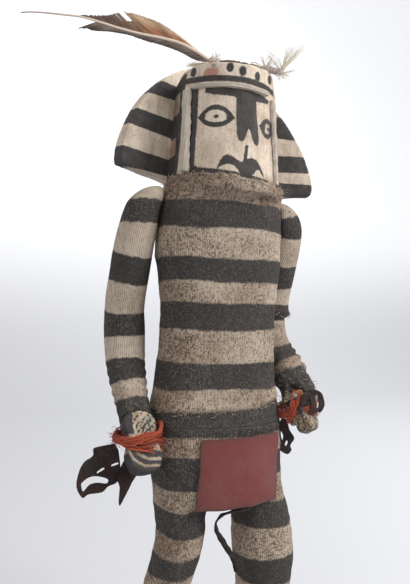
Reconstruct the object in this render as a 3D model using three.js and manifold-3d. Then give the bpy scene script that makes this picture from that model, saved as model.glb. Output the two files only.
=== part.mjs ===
// A carved wooden doll in a close-fitting knitted suit, painted in black and cream bands.
// Millimetres, +Z up, the doll faces -Y, and its own left hand is on the +X side.
import * as THREE from "three";
import { mergeVertices } from "three/addons/utils/BufferGeometryUtils.js";
import Module from "manifold-3d";

const wasm = await Module();
wasm.setup();

// Driving dimensions

const bodyHeight = 386; // soles to the top edge of the knitted suit; limbs keep their shares of it
const clearance = 0.3; // gap where two pieces touch

const footLength = 50;
const footWidth = 30;
const footHeight = 20;
const footToeOut = 6; // degrees that each foot turns outwards

const headRadius = 36; // half-round front of the head block
const headLeftBase = 41.3; // middle of the face to the doll's left side wall, at the base
const headLeftCrown = 31.2; // the same at the crown: the carving narrows upwards on that side
const headWallDepth = 14.2; // straight side wall behind the half-round front
const headHeight = 81; // base to the front edge of the crown
const headSeat = 6; // how deep the base sits in the suit's neck
const crownDome = 3.8; // rise of the crown above its front edge
const crownFall = 14; // drop of the crown towards the back
const crownRim = 12; // height of the rim that rounds over on the doll's left
const crownRounding = 0.12; // share by which the crown draws in on that side
const headTurn = 6; // degrees the head looks to the doll's right
const headTilt = 4.5; // degrees the head leans to the doll's left
const collarWidth = 4.5; // bunched knit round the base of the head
const collarRise = 3.5;

const boardReach = 80.3; // middle of the board to its outer corner
const boardRise = 90; // corner height to the top of the arch
const boardCorner = 6; // height of the outer corner above the head's base
const boardHem = -2; // level inner part of the board's lower edge, above the head's base
const boardHemReach = 26; // how far out that level part runs
const boardThickness = 11.5;
const boardSweep = 15; // degrees each wing stands forward

const stripWidth = 5.6; // the split reeds that frame the face
const stripThickness = 2.4;
const topStripHeight = 64.5; // middle of the upper reed above the head's base

const handLength = 43;
const handWidth = 24;
const handWaist = 19;
const handThickness = 11;

const yarnThickness = 2.4; // red yarn wound round hand and wrist
const yarnHeight = 13;

const clothWidth = 61; // lower edge of the red cloth at the front of the hips
const clothTopWidth = 55;
const clothHeight = 50;
const clothThickness = 1.6;
const leatherThickness = 1.4;

const featherLength = 140; // tie to the bare tip of the shaft
const featherThickness = 1.2;
const shaftRadius = 1.3;
const wrapRadius = 2.3; // dark binding over the quills
const knotRadius = 3.6; // white string round the shaft
const threadRadius = 2.8; // pale thread round the far end of the quills
const crownBearing = 26; // degrees the feather points back from the doll's right
const tieAcross = -18; // where the feather is tied, in the head's own frame
const tieDepth = -15;

// Materials

function paint(colour, roughness, metalness = 0) {
  return new THREE.MeshStandardMaterial({ color: colour, roughness, metalness });
}

const knit = paint(0x8d8272, 0.95);
const paintedWood = paint(0xb9a68c, 0.75);
const reed = paint(0xc9b48e, 0.8);
const plume = paint(0x8a6a4a, 0.7);
const yarn = paint(0xb5452c, 0.95);
const string = paint(0xcfc4b4, 0.9);
const leather = paint(0x2b211d, 0.7);
const redCloth = paint(0x833c3a, 0.95);

// Solids and booleans

function closedMesh(geometry) {
  const bare = geometry.clone();
  bare.deleteAttribute("normal");
  bare.deleteAttribute("uv");
  return mergeVertices(bare, 1e-4);
}

function toManifold(geometry) {
  const merged = closedMesh(geometry);
  const mesh = new wasm.Mesh({
    numProp: 3,
    vertProperties: merged.attributes.position.array,
    triVerts: new Uint32Array(merged.index.array),
  });
  return new wasm.Manifold(mesh);
}

function fromManifold(solid) {
  const mesh = solid.getMesh();
  const geometry = new THREE.BufferGeometry();
  geometry.setAttribute("position", new THREE.BufferAttribute(mesh.vertProperties, 3));
  geometry.setIndex(new THREE.BufferAttribute(mesh.triVerts, 1));
  return geometry;
}

function joined(...geometries) {
  const solids = geometries.map(toManifold);
  return fromManifold(solids.reduce((whole, next) => whole.add(next)));
}

function cut(geometry, ...tools) {
  const solids = tools.map(toManifold);
  return fromManifold(solids.reduce((whole, tool) => whole.subtract(tool), toManifold(geometry)));
}

// Six times the enclosed volume, negative when the faces point inwards.
function signedVolume(positions, index) {
  const a = new THREE.Vector3();
  const b = new THREE.Vector3();
  const c = new THREE.Vector3();
  let sum = 0;
  for (let i = 0; i < index.length; i += 3) {
    a.fromArray(positions, index[i] * 3);
    b.fromArray(positions, index[i + 1] * 3);
    c.fromArray(positions, index[i + 2] * 3);
    sum += a.dot(b.cross(c));
  }
  return sum;
}

// A closed solid through rings of equally many points; each end is a fan round its middle.
function loft(rings) {
  const sides = rings[0].length;
  const positions = [];
  const index = [];
  for (const ring of rings) {
    for (const point of ring) positions.push(point.x, point.y, point.z);
  }
  for (const ring of [rings[0], rings[rings.length - 1]]) {
    const middle = new THREE.Vector3();
    for (const point of ring) middle.add(point);
    middle.divideScalar(sides);
    positions.push(middle.x, middle.y, middle.z);
  }
  const startPole = rings.length * sides;
  const endPole = startPole + 1;
  const lastRing = (rings.length - 1) * sides;
  for (let side = 0; side < sides; side += 1) {
    const next = (side + 1) % sides;
    for (let level = 0; level < rings.length - 1; level += 1) {
      const low = level * sides;
      const high = low + sides;
      index.push(low + side, low + next, high + next);
      index.push(low + side, high + next, high + side);
    }
    index.push(startPole, next, side);
    index.push(endPole, lastRing + side, lastRing + next);
  }
  if (signedVolume(positions, index) < 0) {
    for (let i = 0; i < index.length; i += 3) {
      [index[i + 1], index[i + 2]] = [index[i + 2], index[i + 1]];
    }
  }
  const geometry = new THREE.BufferGeometry();
  geometry.setAttribute("position", new THREE.Float32BufferAttribute(positions, 3));
  geometry.setIndex(index);
  return geometry;
}

// A level oval; squareness 2 is an ellipse and more is boxier.
function oval(middle, halfWidth, halfDepth, sides, squareness = 2) {
  const points = [];
  for (let side = 0; side < sides; side += 1) {
    const angle = (side / sides) * 2 * Math.PI;
    const along = Math.cos(angle);
    const aside = Math.sin(angle);
    const x = halfWidth * Math.sign(along) * Math.abs(along) ** (2 / squareness);
    const y = halfDepth * Math.sign(aside) * Math.abs(aside) ** (2 / squareness);
    points.push(new THREE.Vector3(middle.x + x, middle.y + y, middle.z));
  }
  return points;
}

// A limb or trunk: ovals carried up a smooth curve through stations given as shares of bodyHeight.
// A station is { up, across, back, wide, deep }, with wide and deep half the oval's size.
function limb(stations, { sides, steps, squareness = 2, grow = 0 }) {
  const share = (value) => (value ?? 0) * bodyHeight;
  const middles = stations.map((s) => new THREE.Vector3(share(s.across), share(s.back), share(s.up)));
  const halves = stations.map((s) => new THREE.Vector3(share(s.wide), share(s.deep), 0));
  const path = new THREE.CatmullRomCurve3(middles, false, "catmullrom", 0.5);
  const girth = new THREE.CatmullRomCurve3(halves, false, "catmullrom", 0.5);
  const rings = [];
  for (let step = 0; step <= steps; step += 1) {
    const at = path.getPoint(step / steps);
    const half = girth.getPoint(step / steps);
    rings.push(oval(at, half.x + grow, half.y + grow, sides, squareness));
  }
  if (grow > 0) {
    const away = Math.sign(rings[rings.length - 1][0].z - rings[0][0].z) * grow;
    for (const point of rings[0]) point.z -= away;
    for (const point of rings[rings.length - 1]) point.z += away;
  }
  return loft(rings);
}

const rad = THREE.MathUtils.degToRad;

// The suit's trunk and legs

const trunkStations = [
  { up: 0.389, across: 0.012, wide: 0.088, deep: 0.048 },
  { up: 0.405, across: 0.012, wide: 0.118, deep: 0.068 },
  { up: 0.43, across: 0.01, wide: 0.132, deep: 0.079 },
  { up: 0.487, across: 0.003, wide: 0.133, deep: 0.081 },
  { up: 0.565, wide: 0.1305, deep: 0.079 },
  { up: 0.642, across: -0.001, wide: 0.121, deep: 0.0745 },
  { up: 0.72, across: 0.002, wide: 0.1155, deep: 0.073 },
  { up: 0.798, across: 0.002, wide: 0.12, deep: 0.076 },
  { up: 0.876, across: -0.001, wide: 0.1275, deep: 0.081 },
  { up: 0.935, wide: 0.126, deep: 0.083 },
  { up: 0.972, wide: 0.121, deep: 0.08 },
  { up: 0.989, wide: 0.113, deep: 0.073 },
  { up: 0.996, wide: 0.1, deep: 0.056 },
];

const legSides = {
  right: [
    { up: 0.47, across: -0.06, wide: 0.06, deep: 0.06 },
    { up: 0.399, across: -0.071, back: -0.002, wide: 0.051, deep: 0.054 },
    { up: 0.365, across: -0.069, back: -0.005, wide: 0.048, deep: 0.051 },
    { up: 0.332, across: -0.0715, back: -0.007, wide: 0.0455, deep: 0.05 },
    { up: 0.29, across: -0.0816, back: -0.008, wide: 0.0445, deep: 0.048 },
    { up: 0.2435, across: -0.0948, back: -0.005, wide: 0.0445, deep: 0.047 },
    { up: 0.181, across: -0.106, wide: 0.042, deep: 0.045 },
    { up: 0.117, across: -0.112, back: 0.003, wide: 0.036, deep: 0.039 },
    { up: 0.08, across: -0.113, back: 0.003, wide: 0.033, deep: 0.036 },
    { up: 0.0545, across: -0.113, back: 0.003, wide: 0.031, deep: 0.034 },
  ],
  left: [
    { up: 0.47, across: 0.068, wide: 0.062, deep: 0.062 },
    { up: 0.405, across: 0.092, back: -0.002, wide: 0.056, deep: 0.058 },
    { up: 0.37, across: 0.1034, back: -0.005, wide: 0.0565, deep: 0.057 },
    { up: 0.319, across: 0.1073, back: -0.008, wide: 0.0615, deep: 0.06 },
    { up: 0.28, across: 0.112, back: -0.008, wide: 0.0625, deep: 0.06 },
    { up: 0.2435, across: 0.117, back: -0.005, wide: 0.0575, deep: 0.057 },
    { up: 0.207, across: 0.117, wide: 0.055, deep: 0.055 },
    { up: 0.155, across: 0.117, back: 0.002, wide: 0.0475, deep: 0.048 },
    { up: 0.104, across: 0.118, back: 0.003, wide: 0.0385, deep: 0.041 },
    { up: 0.075, across: 0.118, back: 0.003, wide: 0.034, deep: 0.037 },
    { up: 0.0545, across: 0.118, back: 0.003, wide: 0.032, deep: 0.035 },
  ],
};

// The legs end just above the feet, whatever height the feet have.
const legs = {};
for (const [side, stations] of Object.entries(legSides)) {
  const ankle = { ...stations[stations.length - 1], up: (footHeight + clearance) / bodyHeight };
  legs[side] = [...stations.slice(0, -1), ankle];
}

const trunkShape = { sides: 28, steps: 17, squareness: 2.35 };
const legShape = { sides: 14, steps: 12, squareness: 2.1 };

// Arms hang beside the trunk, elbows back and hands forward

const armStations = {
  right: [
    { up: 0.9885, across: -0.128, wide: 0.006, deep: 0.008 },
    { up: 0.983, across: -0.137, wide: 0.018, deep: 0.02 },
    { up: 0.972, across: -0.1455, wide: 0.0265, deep: 0.029 },
    { up: 0.957, across: -0.1545, back: 0.002, wide: 0.032, deep: 0.034 },
    { up: 0.927, across: -0.162, back: 0.008, wide: 0.035, deep: 0.036 },
    { up: 0.883, across: -0.166, back: 0.021, wide: 0.038, deep: 0.039 },
    { up: 0.8, across: -0.17, back: 0.044, wide: 0.0375, deep: 0.039 },
    { up: 0.749, across: -0.17, back: 0.057, wide: 0.0385, deep: 0.039 },
    { up: 0.708, across: -0.167, back: 0.06, wide: 0.0395, deep: 0.04 },
    { up: 0.662, across: -0.169, back: 0.046, wide: 0.037, deep: 0.038 },
    { up: 0.622, across: -0.169, back: 0.026, wide: 0.035, deep: 0.035 },
    { up: 0.588, across: -0.1675, back: 0.006, wide: 0.0325, deep: 0.033 },
    { up: 0.558, across: -0.166, back: -0.01, wide: 0.03, deep: 0.03 },
    { up: 0.52, across: -0.163, back: -0.018, wide: 0.027, deep: 0.024 },
  ],
  left: [
    { up: 0.98, across: 0.119, wide: 0.006, deep: 0.008 },
    { up: 0.974, across: 0.128, wide: 0.02, deep: 0.02 },
    { up: 0.963, across: 0.137, wide: 0.031, deep: 0.03 },
    { up: 0.946, across: 0.142, back: 0.002, wide: 0.038, deep: 0.036 },
    { up: 0.92, across: 0.148, back: 0.006, wide: 0.04, deep: 0.039 },
    { up: 0.89, across: 0.1515, back: 0.016, wide: 0.04, deep: 0.039 },
    { up: 0.85, across: 0.1545, back: 0.034, wide: 0.0395, deep: 0.039 },
    { up: 0.8, across: 0.1547, back: 0.052, wide: 0.0395, deep: 0.039 },
    { up: 0.765, across: 0.1557, back: 0.06, wide: 0.0395, deep: 0.039 },
    { up: 0.713, across: 0.154, back: 0.052, wide: 0.04, deep: 0.04 },
    { up: 0.676, across: 0.1614, back: 0.036, wide: 0.04, deep: 0.04 },
    { up: 0.638, across: 0.175, back: 0.01, wide: 0.0395, deep: 0.038 },
    { up: 0.605, across: 0.176, back: -0.006, wide: 0.037, deep: 0.034 },
    { up: 0.56, across: 0.1765, back: -0.016, wide: 0.03, deep: 0.025 },
  ],
};
const armShape = { sides: 14, steps: 17, squareness: 2.1 };

// Head block: half-round front, straight sides, a back that follows the board's two wings

const headAt = new THREE.Vector3(0.0013 * bodyHeight, -0.0026 * bodyHeight, 0.9975 * bodyHeight);
const headPose = new THREE.Matrix4()
  .makeRotationFromEuler(new THREE.Euler(0, rad(headTilt), rad(-headTurn), "ZYX"))
  .setPosition(headAt);
const boardDepth = headWallDepth + headRadius * Math.tan(rad(boardSweep)); // at the middle

// How far the side wall on the doll's left stands out at a height above the head's base.
function leftReach(up) {
  return THREE.MathUtils.lerp(headLeftBase, headLeftCrown, up / headHeight);
}

// One level outline of the head at a height above its base, grown outwards by the given amount.
function headOutline(up, grow) {
  const points = [];
  const depth = headRadius + grow;
  const left = leftReach(up) + grow;
  const slant = Math.tan(rad(boardSweep));
  const front = 26;
  for (let step = 0; step <= front; step += 1) {
    const angle = Math.PI + (step / front) * Math.PI;
    const across = Math.cos(angle) > 0 ? left : depth;
    points.push(new THREE.Vector2(across * Math.cos(angle), depth * Math.sin(angle)));
  }
  const back = 6;
  for (let step = 0; step <= back; step += 1) {
    const x = THREE.MathUtils.lerp(left, -depth, step / back);
    points.push(new THREE.Vector2(x, boardDepth - Math.abs(x) * slant + grow));
  }
  return points;
}

// Height of the crown: highest a third of the way back, lower at the sides and the back.
function crownHeight(x, y) {
  const ridge = -headRadius / 3;
  const toFront = headRadius + ridge;
  const toBack = boardDepth - ridge;
  const sideDrop = 6.3 * (x / headRadius) ** 2;
  const drop = y < ridge ? crownDome * ((ridge - y) / toFront) ** 2 : crownFall * ((y - ridge) / toBack) ** 2;
  return headHeight + crownDome - sideDrop - drop;
}

function headBlock(grow = 0) {
  const rings = [];
  const wallLevels = 3;
  const shoulder = headHeight - crownRim;
  for (let level = 0; level <= wallLevels; level += 1) {
    const up = THREE.MathUtils.lerp(-headSeat, shoulder, level / wallLevels) - (level === 0 ? grow : 0);
    rings.push(
      headOutline(Math.max(up, 0), grow).map(({ x, y }) => {
        const lowered = level === wallLevels ? crownHeight(x, y) - crownRim : up;
        return new THREE.Vector3(x, y, lowered);
      }),
    );
  }
  const middle = new THREE.Vector2(0, -headRadius / 3);
  const outline = headOutline(headHeight, grow);
  for (const inward of [0, 0.12, 0.35, 0.62]) {
    rings.push(
      outline.map((point) => {
        const rounding = crownRounding * Math.max(0, point.x / headLeftCrown) ** 2;
        const { x, y } = point.clone().lerp(middle, inward + (1 - inward) * rounding);
        return new THREE.Vector3(x, y, crownHeight(x, y) + grow);
      }),
    );
  }
  return loft(rings).applyMatrix4(headPose);
}

// The knit bunches into a low collar round the base of the head.
function collar(grow = 0) {
  const ring = (width, up) => headOutline(0, width + grow).map(({ x, y }) => new THREE.Vector3(x, y, up));
  const foot = ring(collarWidth, -headSeat * 1.3 - grow);
  const brim = ring(collarWidth, collarRise * 0.5);
  const lip = ring(collarWidth * 0.45, collarRise + grow);
  return loft([foot, brim, lip]).applyMatrix4(headPose);
}

// Half-disc board behind the head, in two wings that meet behind it

const wingRoundness = { right: 1.93, left: 1.52 }; // 2 is an ellipse, less is straighter

function wingOutline(side, grow) {
  const inner = -boardThickness * Math.tan(rad(boardSweep));
  const nick = 1; // the lower corner is cut off by this much
  const tip = 4; // height of the straight outer edge
  const points = [
    new THREE.Vector2(inner, boardHem),
    new THREE.Vector2(boardHemReach, boardHem),
    new THREE.Vector2(boardReach - nick, boardCorner),
  ];
  const arc = 20;
  const power = 2 / wingRoundness[side];
  for (let step = 0; step <= arc; step += 1) {
    const angle = (step / arc) * (Math.PI / 2);
    const along = boardReach * Math.cos(angle) ** power;
    const up = boardCorner + tip + (boardRise - tip) * Math.sin(angle) ** power;
    points.push(new THREE.Vector2(Math.max(along, inner), up));
  }
  points.push(new THREE.Vector2(inner, boardCorner + boardRise));
  if (grow > 0) {
    const middle = boardCorner + boardRise / 2;
    for (const point of points) {
      point.x *= point.x > 0 ? 1 + grow / boardReach : 1;
      point.y = middle + (point.y - middle) * (1 + (2.2 * grow) / boardRise);
    }
  }
  return new THREE.Shape(points);
}

function board(grow = 0) {
  const upright = new THREE.Matrix4().makeRotationX(Math.PI / 2);
  const wings = ["right", "left"].map((side) => {
    const wing = new THREE.ExtrudeGeometry(wingOutline(side, grow), {
      depth: boardThickness + 2 * grow,
      bevelEnabled: false,
      curveSegments: 1,
    });
    // The outline lies in X and Y; stand it up with the front face at Y = 0.
    wing.applyMatrix4(upright);
    wing.translate(0, boardThickness + grow, 0);
    wing.rotateZ(-rad(boardSweep));
    if (side === "right") {
      wing.scale(-1, 1, 1);
      turnFacesRound(wing);
    }
    return wing.translate(0, boardDepth + clearance, 0);
  });
  return joined(...wings).applyMatrix4(headPose);
}

// A mirrored or swapped frame turns triangles inside out; this swaps two corners of each.
function turnFacesRound(geometry) {
  const positions = geometry.attributes.position;
  const held = new THREE.Vector3();
  const other = new THREE.Vector3();
  for (let i = 0; i < positions.count; i += 3) {
    held.fromBufferAttribute(positions, i + 1);
    other.fromBufferAttribute(positions, i + 2);
    positions.setXYZ(i + 1, other.x, other.y, other.z);
    positions.setXYZ(i + 2, held.x, held.y, held.z);
  }
  return geometry;
}

// Split reeds on the face: one across under the headband and one down each side

// A bar that hugs the half-round front: corners given by angle from the face's middle and height.
function facingBar(path) {
  const inner = headRadius + clearance;
  const outer = headRadius + clearance + stripThickness;
  const rings = path.map(({ angle, up, halfAngle, halfUp }) => {
    const corners = [
      [inner, -1],
      [outer, -0.62],
      [outer, 0.62],
      [inner, 1],
    ];
    return corners.map(([radius, edge]) => {
      const a = rad(angle + edge * (halfAngle ?? 0));
      const z = up + edge * (halfUp ?? 0);
      const across = a > 0 ? radius + leftReach(z) - headRadius : radius;
      return new THREE.Vector3(across * Math.sin(a), -radius * Math.cos(a), z);
    });
  });
  return loft(rings).applyMatrix4(headPose);
}

const stripHalfAngle = THREE.MathUtils.radToDeg(stripWidth / 2 / headRadius);

function sideStrip(topAngle, bottomAngle) {
  const top = topStripHeight - stripWidth / 2 - clearance;
  const bottom = collarRise + clearance;
  const path = [];
  const steps = 6;
  for (let step = 0; step <= steps; step += 1) {
    const t = step / steps;
    path.push({
      angle: THREE.MathUtils.lerp(bottomAngle, topAngle, t),
      up: THREE.MathUtils.lerp(bottom, top, t),
      halfAngle: stripHalfAngle,
    });
  }
  return facingBar(path);
}

function topStrip(fromAngle, toAngle) {
  const path = [];
  const steps = 20;
  for (let step = 0; step <= steps; step += 1) {
    const angle = THREE.MathUtils.lerp(fromAngle, toAngle, step / steps);
    path.push({ angle, up: topStripHeight, halfUp: stripWidth / 2 - 0.6 });
  }
  return facingBar(path);
}

// Feet: plain blocks with flat soles, rounded toes and heels

function foot(side) {
  const ankle = legs[side][legs[side].length - 1];
  const outward = side === "left" ? 1 : -1;
  const middle = new THREE.Vector3(0, 0, 0);
  const levels = [
    { up: 0, wide: 0.47, long: 0.49, forward: 0.1 },
    { up: 0.18, wide: 0.5, long: 0.5, forward: 0.1 },
    { up: 0.5, wide: 0.49, long: 0.47, forward: 0.09 },
    { up: 0.8, wide: 0.46, long: 0.36, forward: 0.03 },
    { up: 1, wide: 0.42, long: 0.27, forward: -0.04 },
  ];
  const rings = levels.map(({ up, wide, long, forward }) => {
    middle.set(0, -forward * footLength, up * footHeight);
    return oval(middle, wide * footWidth, long * footLength, 24, 2.6);
  });
  const geometry = loft(rings);
  geometry.rotateZ(rad(outward * footToeOut));
  geometry.translate(ankle.across * bodyHeight, ankle.back * bodyHeight, 0);
  return geometry;
}

// Hands: flat carved fists with a waist where the yarn is tied, palms down and fingers forward

const handPlaces = {
  right: new THREE.Vector3(-0.168 * bodyHeight, -0.0455 * bodyHeight, 0.527 * bodyHeight),
  left: new THREE.Vector3(0.159 * bodyHeight, -0.052 * bodyHeight, 0.576 * bodyHeight),
};
const handSlopes = { right: 32, left: 30 }; // degrees that the fingers' end leans forward
const handTurns = { right: 0, left: 36 }; // degrees the flat face looks to the doll's left

function handOutline(grow) {
  const halfLength = handLength / 2 + grow;
  const halfWidth = handWidth / 2 + grow;
  const halfWaist = handWaist / 2 + grow;
  const quarter = [
    [0, halfLength],
    [halfWidth * 0.62, halfLength * 0.93],
    [halfWidth, halfLength * 0.6],
    [halfWaist, halfLength * 0.1],
    [halfWidth, -halfLength * 0.42],
    [halfWidth * 0.86, -halfLength * 0.82],
    [halfWidth * 0.4, -halfLength * 0.99],
  ];
  const right = quarter.map(([x, y]) => new THREE.Vector2(x, y));
  const left = quarter.slice(1).reverse().map(([x, y]) => new THREE.Vector2(-x, y));
  const curve = new THREE.SplineCurve([...right, ...left, right[0]]);
  return new THREE.Shape(curve.getPoints(30).slice(0, -1));
}

function hand(side, grow = 0) {
  const bevel = 1.6;
  const geometry = new THREE.ExtrudeGeometry(handOutline(grow - bevel), {
    depth: handThickness - 2 * bevel + 2 * grow,
    bevelThickness: bevel,
    bevelSize: bevel,
    bevelSegments: 2,
    curveSegments: 1,
  });
  geometry.translate(0, 0, -(handThickness / 2 - bevel) - grow);
  // The outline's length stands up, its face looks forward, and its lower end leans forward.
  geometry.rotateX(Math.PI / 2);
  geometry.rotateX(-rad(handSlopes[side]));
  geometry.rotateZ(rad(handTurns[side]));
  geometry.translate(...handPlaces[side].toArray());
  return geometry;
}

// Red yarn: a band round the waist of the hand and the end of the sleeve

function yarnBand(side, grow = 0) {
  const place = handPlaces[side];
  const lift = side === "left" ? -4 : 2;
  const girth = handWidth / 2 + yarnThickness + 1.6;
  const depth = handThickness / 2 + 11;
  const levels = [
    { up: -0.5, share: 0.86 },
    { up: -0.22, share: 0.99 },
    { up: 0.1, share: 0.95 },
    { up: 0.34, share: 1 },
    { up: 0.5, share: 0.86 },
  ];
  const rings = levels.map(({ up, share }) => {
    const middle = new THREE.Vector3(place.x, place.y + 6.5, place.z + lift + up * (yarnHeight + 2 * grow));
    return oval(middle, girth * share + grow, depth * share + grow, 20, 2.3);
  });
  return loft(rings);
}

// Flat pieces cut from an outline in the doll's X and Z, given about the hand that holds them

function slab(points, thickness, atY) {
  const corners = points.map(([x, z]) => new THREE.Vector2(x, z));
  const curve = new THREE.SplineCurve([...corners, corners[0]]);
  const shape = new THREE.Shape(curve.getPoints(points.length * 3).slice(0, -1));
  const geometry = new THREE.ExtrudeGeometry(shape, { depth: thickness, bevelEnabled: false, curveSegments: 1 });
  geometry.rotateX(Math.PI / 2);
  geometry.translate(0, atY + thickness / 2, 0);
  return geometry;
}

function aboutHand(side, list) {
  const place = handPlaces[side];
  return list.map(([x, z]) => [place.x + x, place.z + z]);
}

const strips = {
  rightLong: {
    side: "right",
    outline: [
      [-14, -1], [-25, -2.5], [-30, -4], [-30, -9], [-36.5, -12], [-40, -18], [-41.5, -28],
      [-37, -36], [-33, -34.5], [-23.5, -34], [-19.5, -30], [-14, -28], [-11, -22], [-12, -12],
    ],
    holes: [
      [[-38.5, -26], [-34.5, -23], [-28.5, -22.3], [-20, -25], [-20.5, -28], [-27, -26.8],
        [-32.5, -27.8], [-36.5, -32]],
      [[-27.5, -21], [-22, -18.6], [-22.6, -17.4], [-27, -19.4]],
      [[-17, -17.2], [-12.6, -15.6], [-13.2, -14.4], [-17.2, -16]],
    ],
    back: 10,
  },
  rightShort: {
    side: "right",
    outline: [[-8, -12], [3, -12], [4, -20], [-3.5, -29], [-11.2, -44.5], [-12, -31], [-14, -24]],
    holes: [],
    back: 7.5,
  },
  leftLoop: {
    side: "left",
    outline: [
      [-6, 0], [-5, 8], [0, 13], [5, 13.5], [10, 12.6], [14, 10], [16, 5], [16, 0],
      [12.5, -4.5], [10, -3.5], [6, -5], [2, -7], [-3, -6],
    ],
    holes: [
      [[-2, 1], [0, 8], [2.5, 7.5], [3.5, 1], [1, -2.5]],
      [[8.6, 8.5], [10.6, 8.8], [11.2, 1], [8.8, -0.4]],
    ],
    back: -9.5,
  },
  leftHanging: {
    side: "left",
    outline: [
      [-10, -11], [-13.5, -18], [-12, -25], [-13, -33], [-5, -38.5], [-1.5, -35], [-2.5, -31.5],
      [1.5, -26.5], [-2.5, -20], [-5.5, -12],
    ],
    holes: [
      [[-10.5, -20], [-8.5, -23.5], [-9.3, -27.5], [-11.1, -24]],
      [[-6.1, -27.6], [-4.3, -29], [-6.1, -32], [-7.5, -30.4]],
    ],
    back: 7.5,
  },
};

function leatherStrip({ side, outline, holes, back }) {
  const atY = handPlaces[side].y + back;
  const piece = slab(aboutHand(side, outline), leatherThickness, atY);
  if (holes.length === 0) return piece;
  return cut(piece, ...holes.map((hole) => slab(aboutHand(side, hole), leatherThickness * 2, atY)));
}

// Red cloth: a thin panel that follows the front of the hips

const hipFront = -0.081 * bodyHeight;

// A thin closed panel between two grids of points, a front one and a back one, edges stitched.
function panel(columns, rows, pointAt) {
  const positions = [];
  const index = [];
  const width = columns + 1;
  const sheet = width * (rows + 1);
  for (const face of [0, 1]) {
    for (let row = 0; row <= rows; row += 1) {
      for (let column = 0; column <= columns; column += 1) {
        positions.push(...pointAt(column / columns, row / rows, face).toArray());
      }
    }
  }
  const quad = (a, b, c, d) => index.push(a, b, c, a, c, d);
  for (let row = 0; row < rows; row += 1) {
    for (let column = 0; column < columns; column += 1) {
      const corner = row * width + column;
      quad(corner, corner + 1, corner + width + 1, corner + width);
      quad(corner + sheet, corner + sheet + width, corner + sheet + width + 1, corner + sheet + 1);
    }
  }
  for (let column = 0; column < columns; column += 1) {
    const top = rows * width + column;
    quad(column + sheet, column + sheet + 1, column + 1, column);
    quad(top, top + 1, top + sheet + 1, top + sheet);
  }
  for (let row = 0; row < rows; row += 1) {
    const left = row * width;
    const right = left + columns;
    quad(left, left + width, left + width + sheet, left + sheet);
    quad(right + sheet, right + sheet + width, right + width, right);
  }
  if (signedVolume(positions, index) < 0) {
    for (let i = 0; i < index.length; i += 3) {
      [index[i + 1], index[i + 2]] = [index[i + 2], index[i + 1]];
    }
  }
  const geometry = new THREE.BufferGeometry();
  geometry.setAttribute("position", new THREE.Float32BufferAttribute(positions, 3));
  geometry.setIndex(index);
  return geometry;
}

function loincloth() {
  const middleX = 0.0135 * bodyHeight;
  const bottom = 0.4045 * bodyHeight;
  const curve = 6.4; // how far the side edges lie behind the middle
  const hang = 1.6; // how far the middle stands off the hips
  return panel(12, 6, (across, up, face) => {
    const x = (across - 0.5) * THREE.MathUtils.lerp(clothWidth, clothTopWidth, up);
    const bend = curve * ((2 * x) / clothWidth) ** 2;
    const bulge = hang * Math.sin(up * Math.PI * 0.6);
    const away = 1.7 + clearance + (1 - face) * clothThickness;
    const slant = (across - 0.5) * 1.5 * (1 - up);
    return new THREE.Vector3(middleX + x, hipFront + bend - bulge - away, bottom + up * clothHeight + slant);
  });
}

// Leather thong that hangs in a loop from under the cloth

function legThong() {
  const at = (x, y, z) => new THREE.Vector3(x * bodyHeight, y * bodyHeight, z * bodyHeight);
  const route = new THREE.CatmullRomCurve3([
    at(0.034, -0.084, 0.399),
    at(0.012, -0.084, 0.3965),
    at(-0.007, -0.081, 0.395),
    at(-0.0205, -0.073, 0.387),
    at(-0.026, -0.066, 0.375),
    at(-0.022, -0.062, 0.358),
    at(-0.01, -0.061, 0.338),
    at(0.004, -0.062, 0.317),
    at(0.015, -0.066, 0.296),
    at(0.019, -0.068, 0.28),
  ]);
  const section = new THREE.Shape([
    new THREE.Vector2(-1.6, -0.7),
    new THREE.Vector2(1.6, -0.7),
    new THREE.Vector2(1.6, 0.7),
    new THREE.Vector2(-1.6, 0.7),
  ]);
  return new THREE.ExtrudeGeometry(section, { steps: 22, extrudePath: route });
}

// Feathers on the crown, drawn in the upright plane that holds the long feather.
// Along runs from the tie towards the feather's tip and up is height, both as seen on that plane.

const tieUp = crownHeight(tieAcross, tieDepth) + knotRadius + 2.6;
const crownPose = new THREE.Matrix4()
  .makeRotationZ(rad(-crownBearing))
  .setPosition(new THREE.Vector3(tieAcross, tieDepth, tieUp).applyMatrix4(headPose));
const shaftPoints = [
  [-3.5, -2.4], [2.8, -1], [12.3, 4.9], [24.7, 11], [37.8, 14.3], [55.1, 17.4], [68.8, 20.7],
  [82.6, 24.6], [97.1, 28.2], [110.1, 29.4], [120.9, 30.3], [131.7, 30.7], [featherLength, 30.2],
];

function crownPoint(along, up, deep = 0) {
  return new THREE.Vector3(-along, deep, up);
}

// A round tapering rod through points of the crown's plane.
function rod(points, startRadius, endRadius, sides, steps) {
  const curve = new THREE.CatmullRomCurve3(points);
  const frames = curve.computeFrenetFrames(steps, false);
  const rings = [];
  for (let step = 0; step <= steps; step += 1) {
    const t = step / steps;
    const middle = curve.getPointAt(t);
    const radius = THREE.MathUtils.lerp(startRadius, endRadius, t);
    const ring = [];
    for (let side = 0; side < sides; side += 1) {
      const angle = (side / sides) * 2 * Math.PI;
      const offset = frames.normals[step].clone().multiplyScalar(radius * Math.cos(angle));
      offset.addScaledVector(frames.binormals[step], radius * Math.sin(angle));
      ring.push(middle.clone().add(offset));
    }
    rings.push(ring);
  }
  return loft(rings);
}

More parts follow.
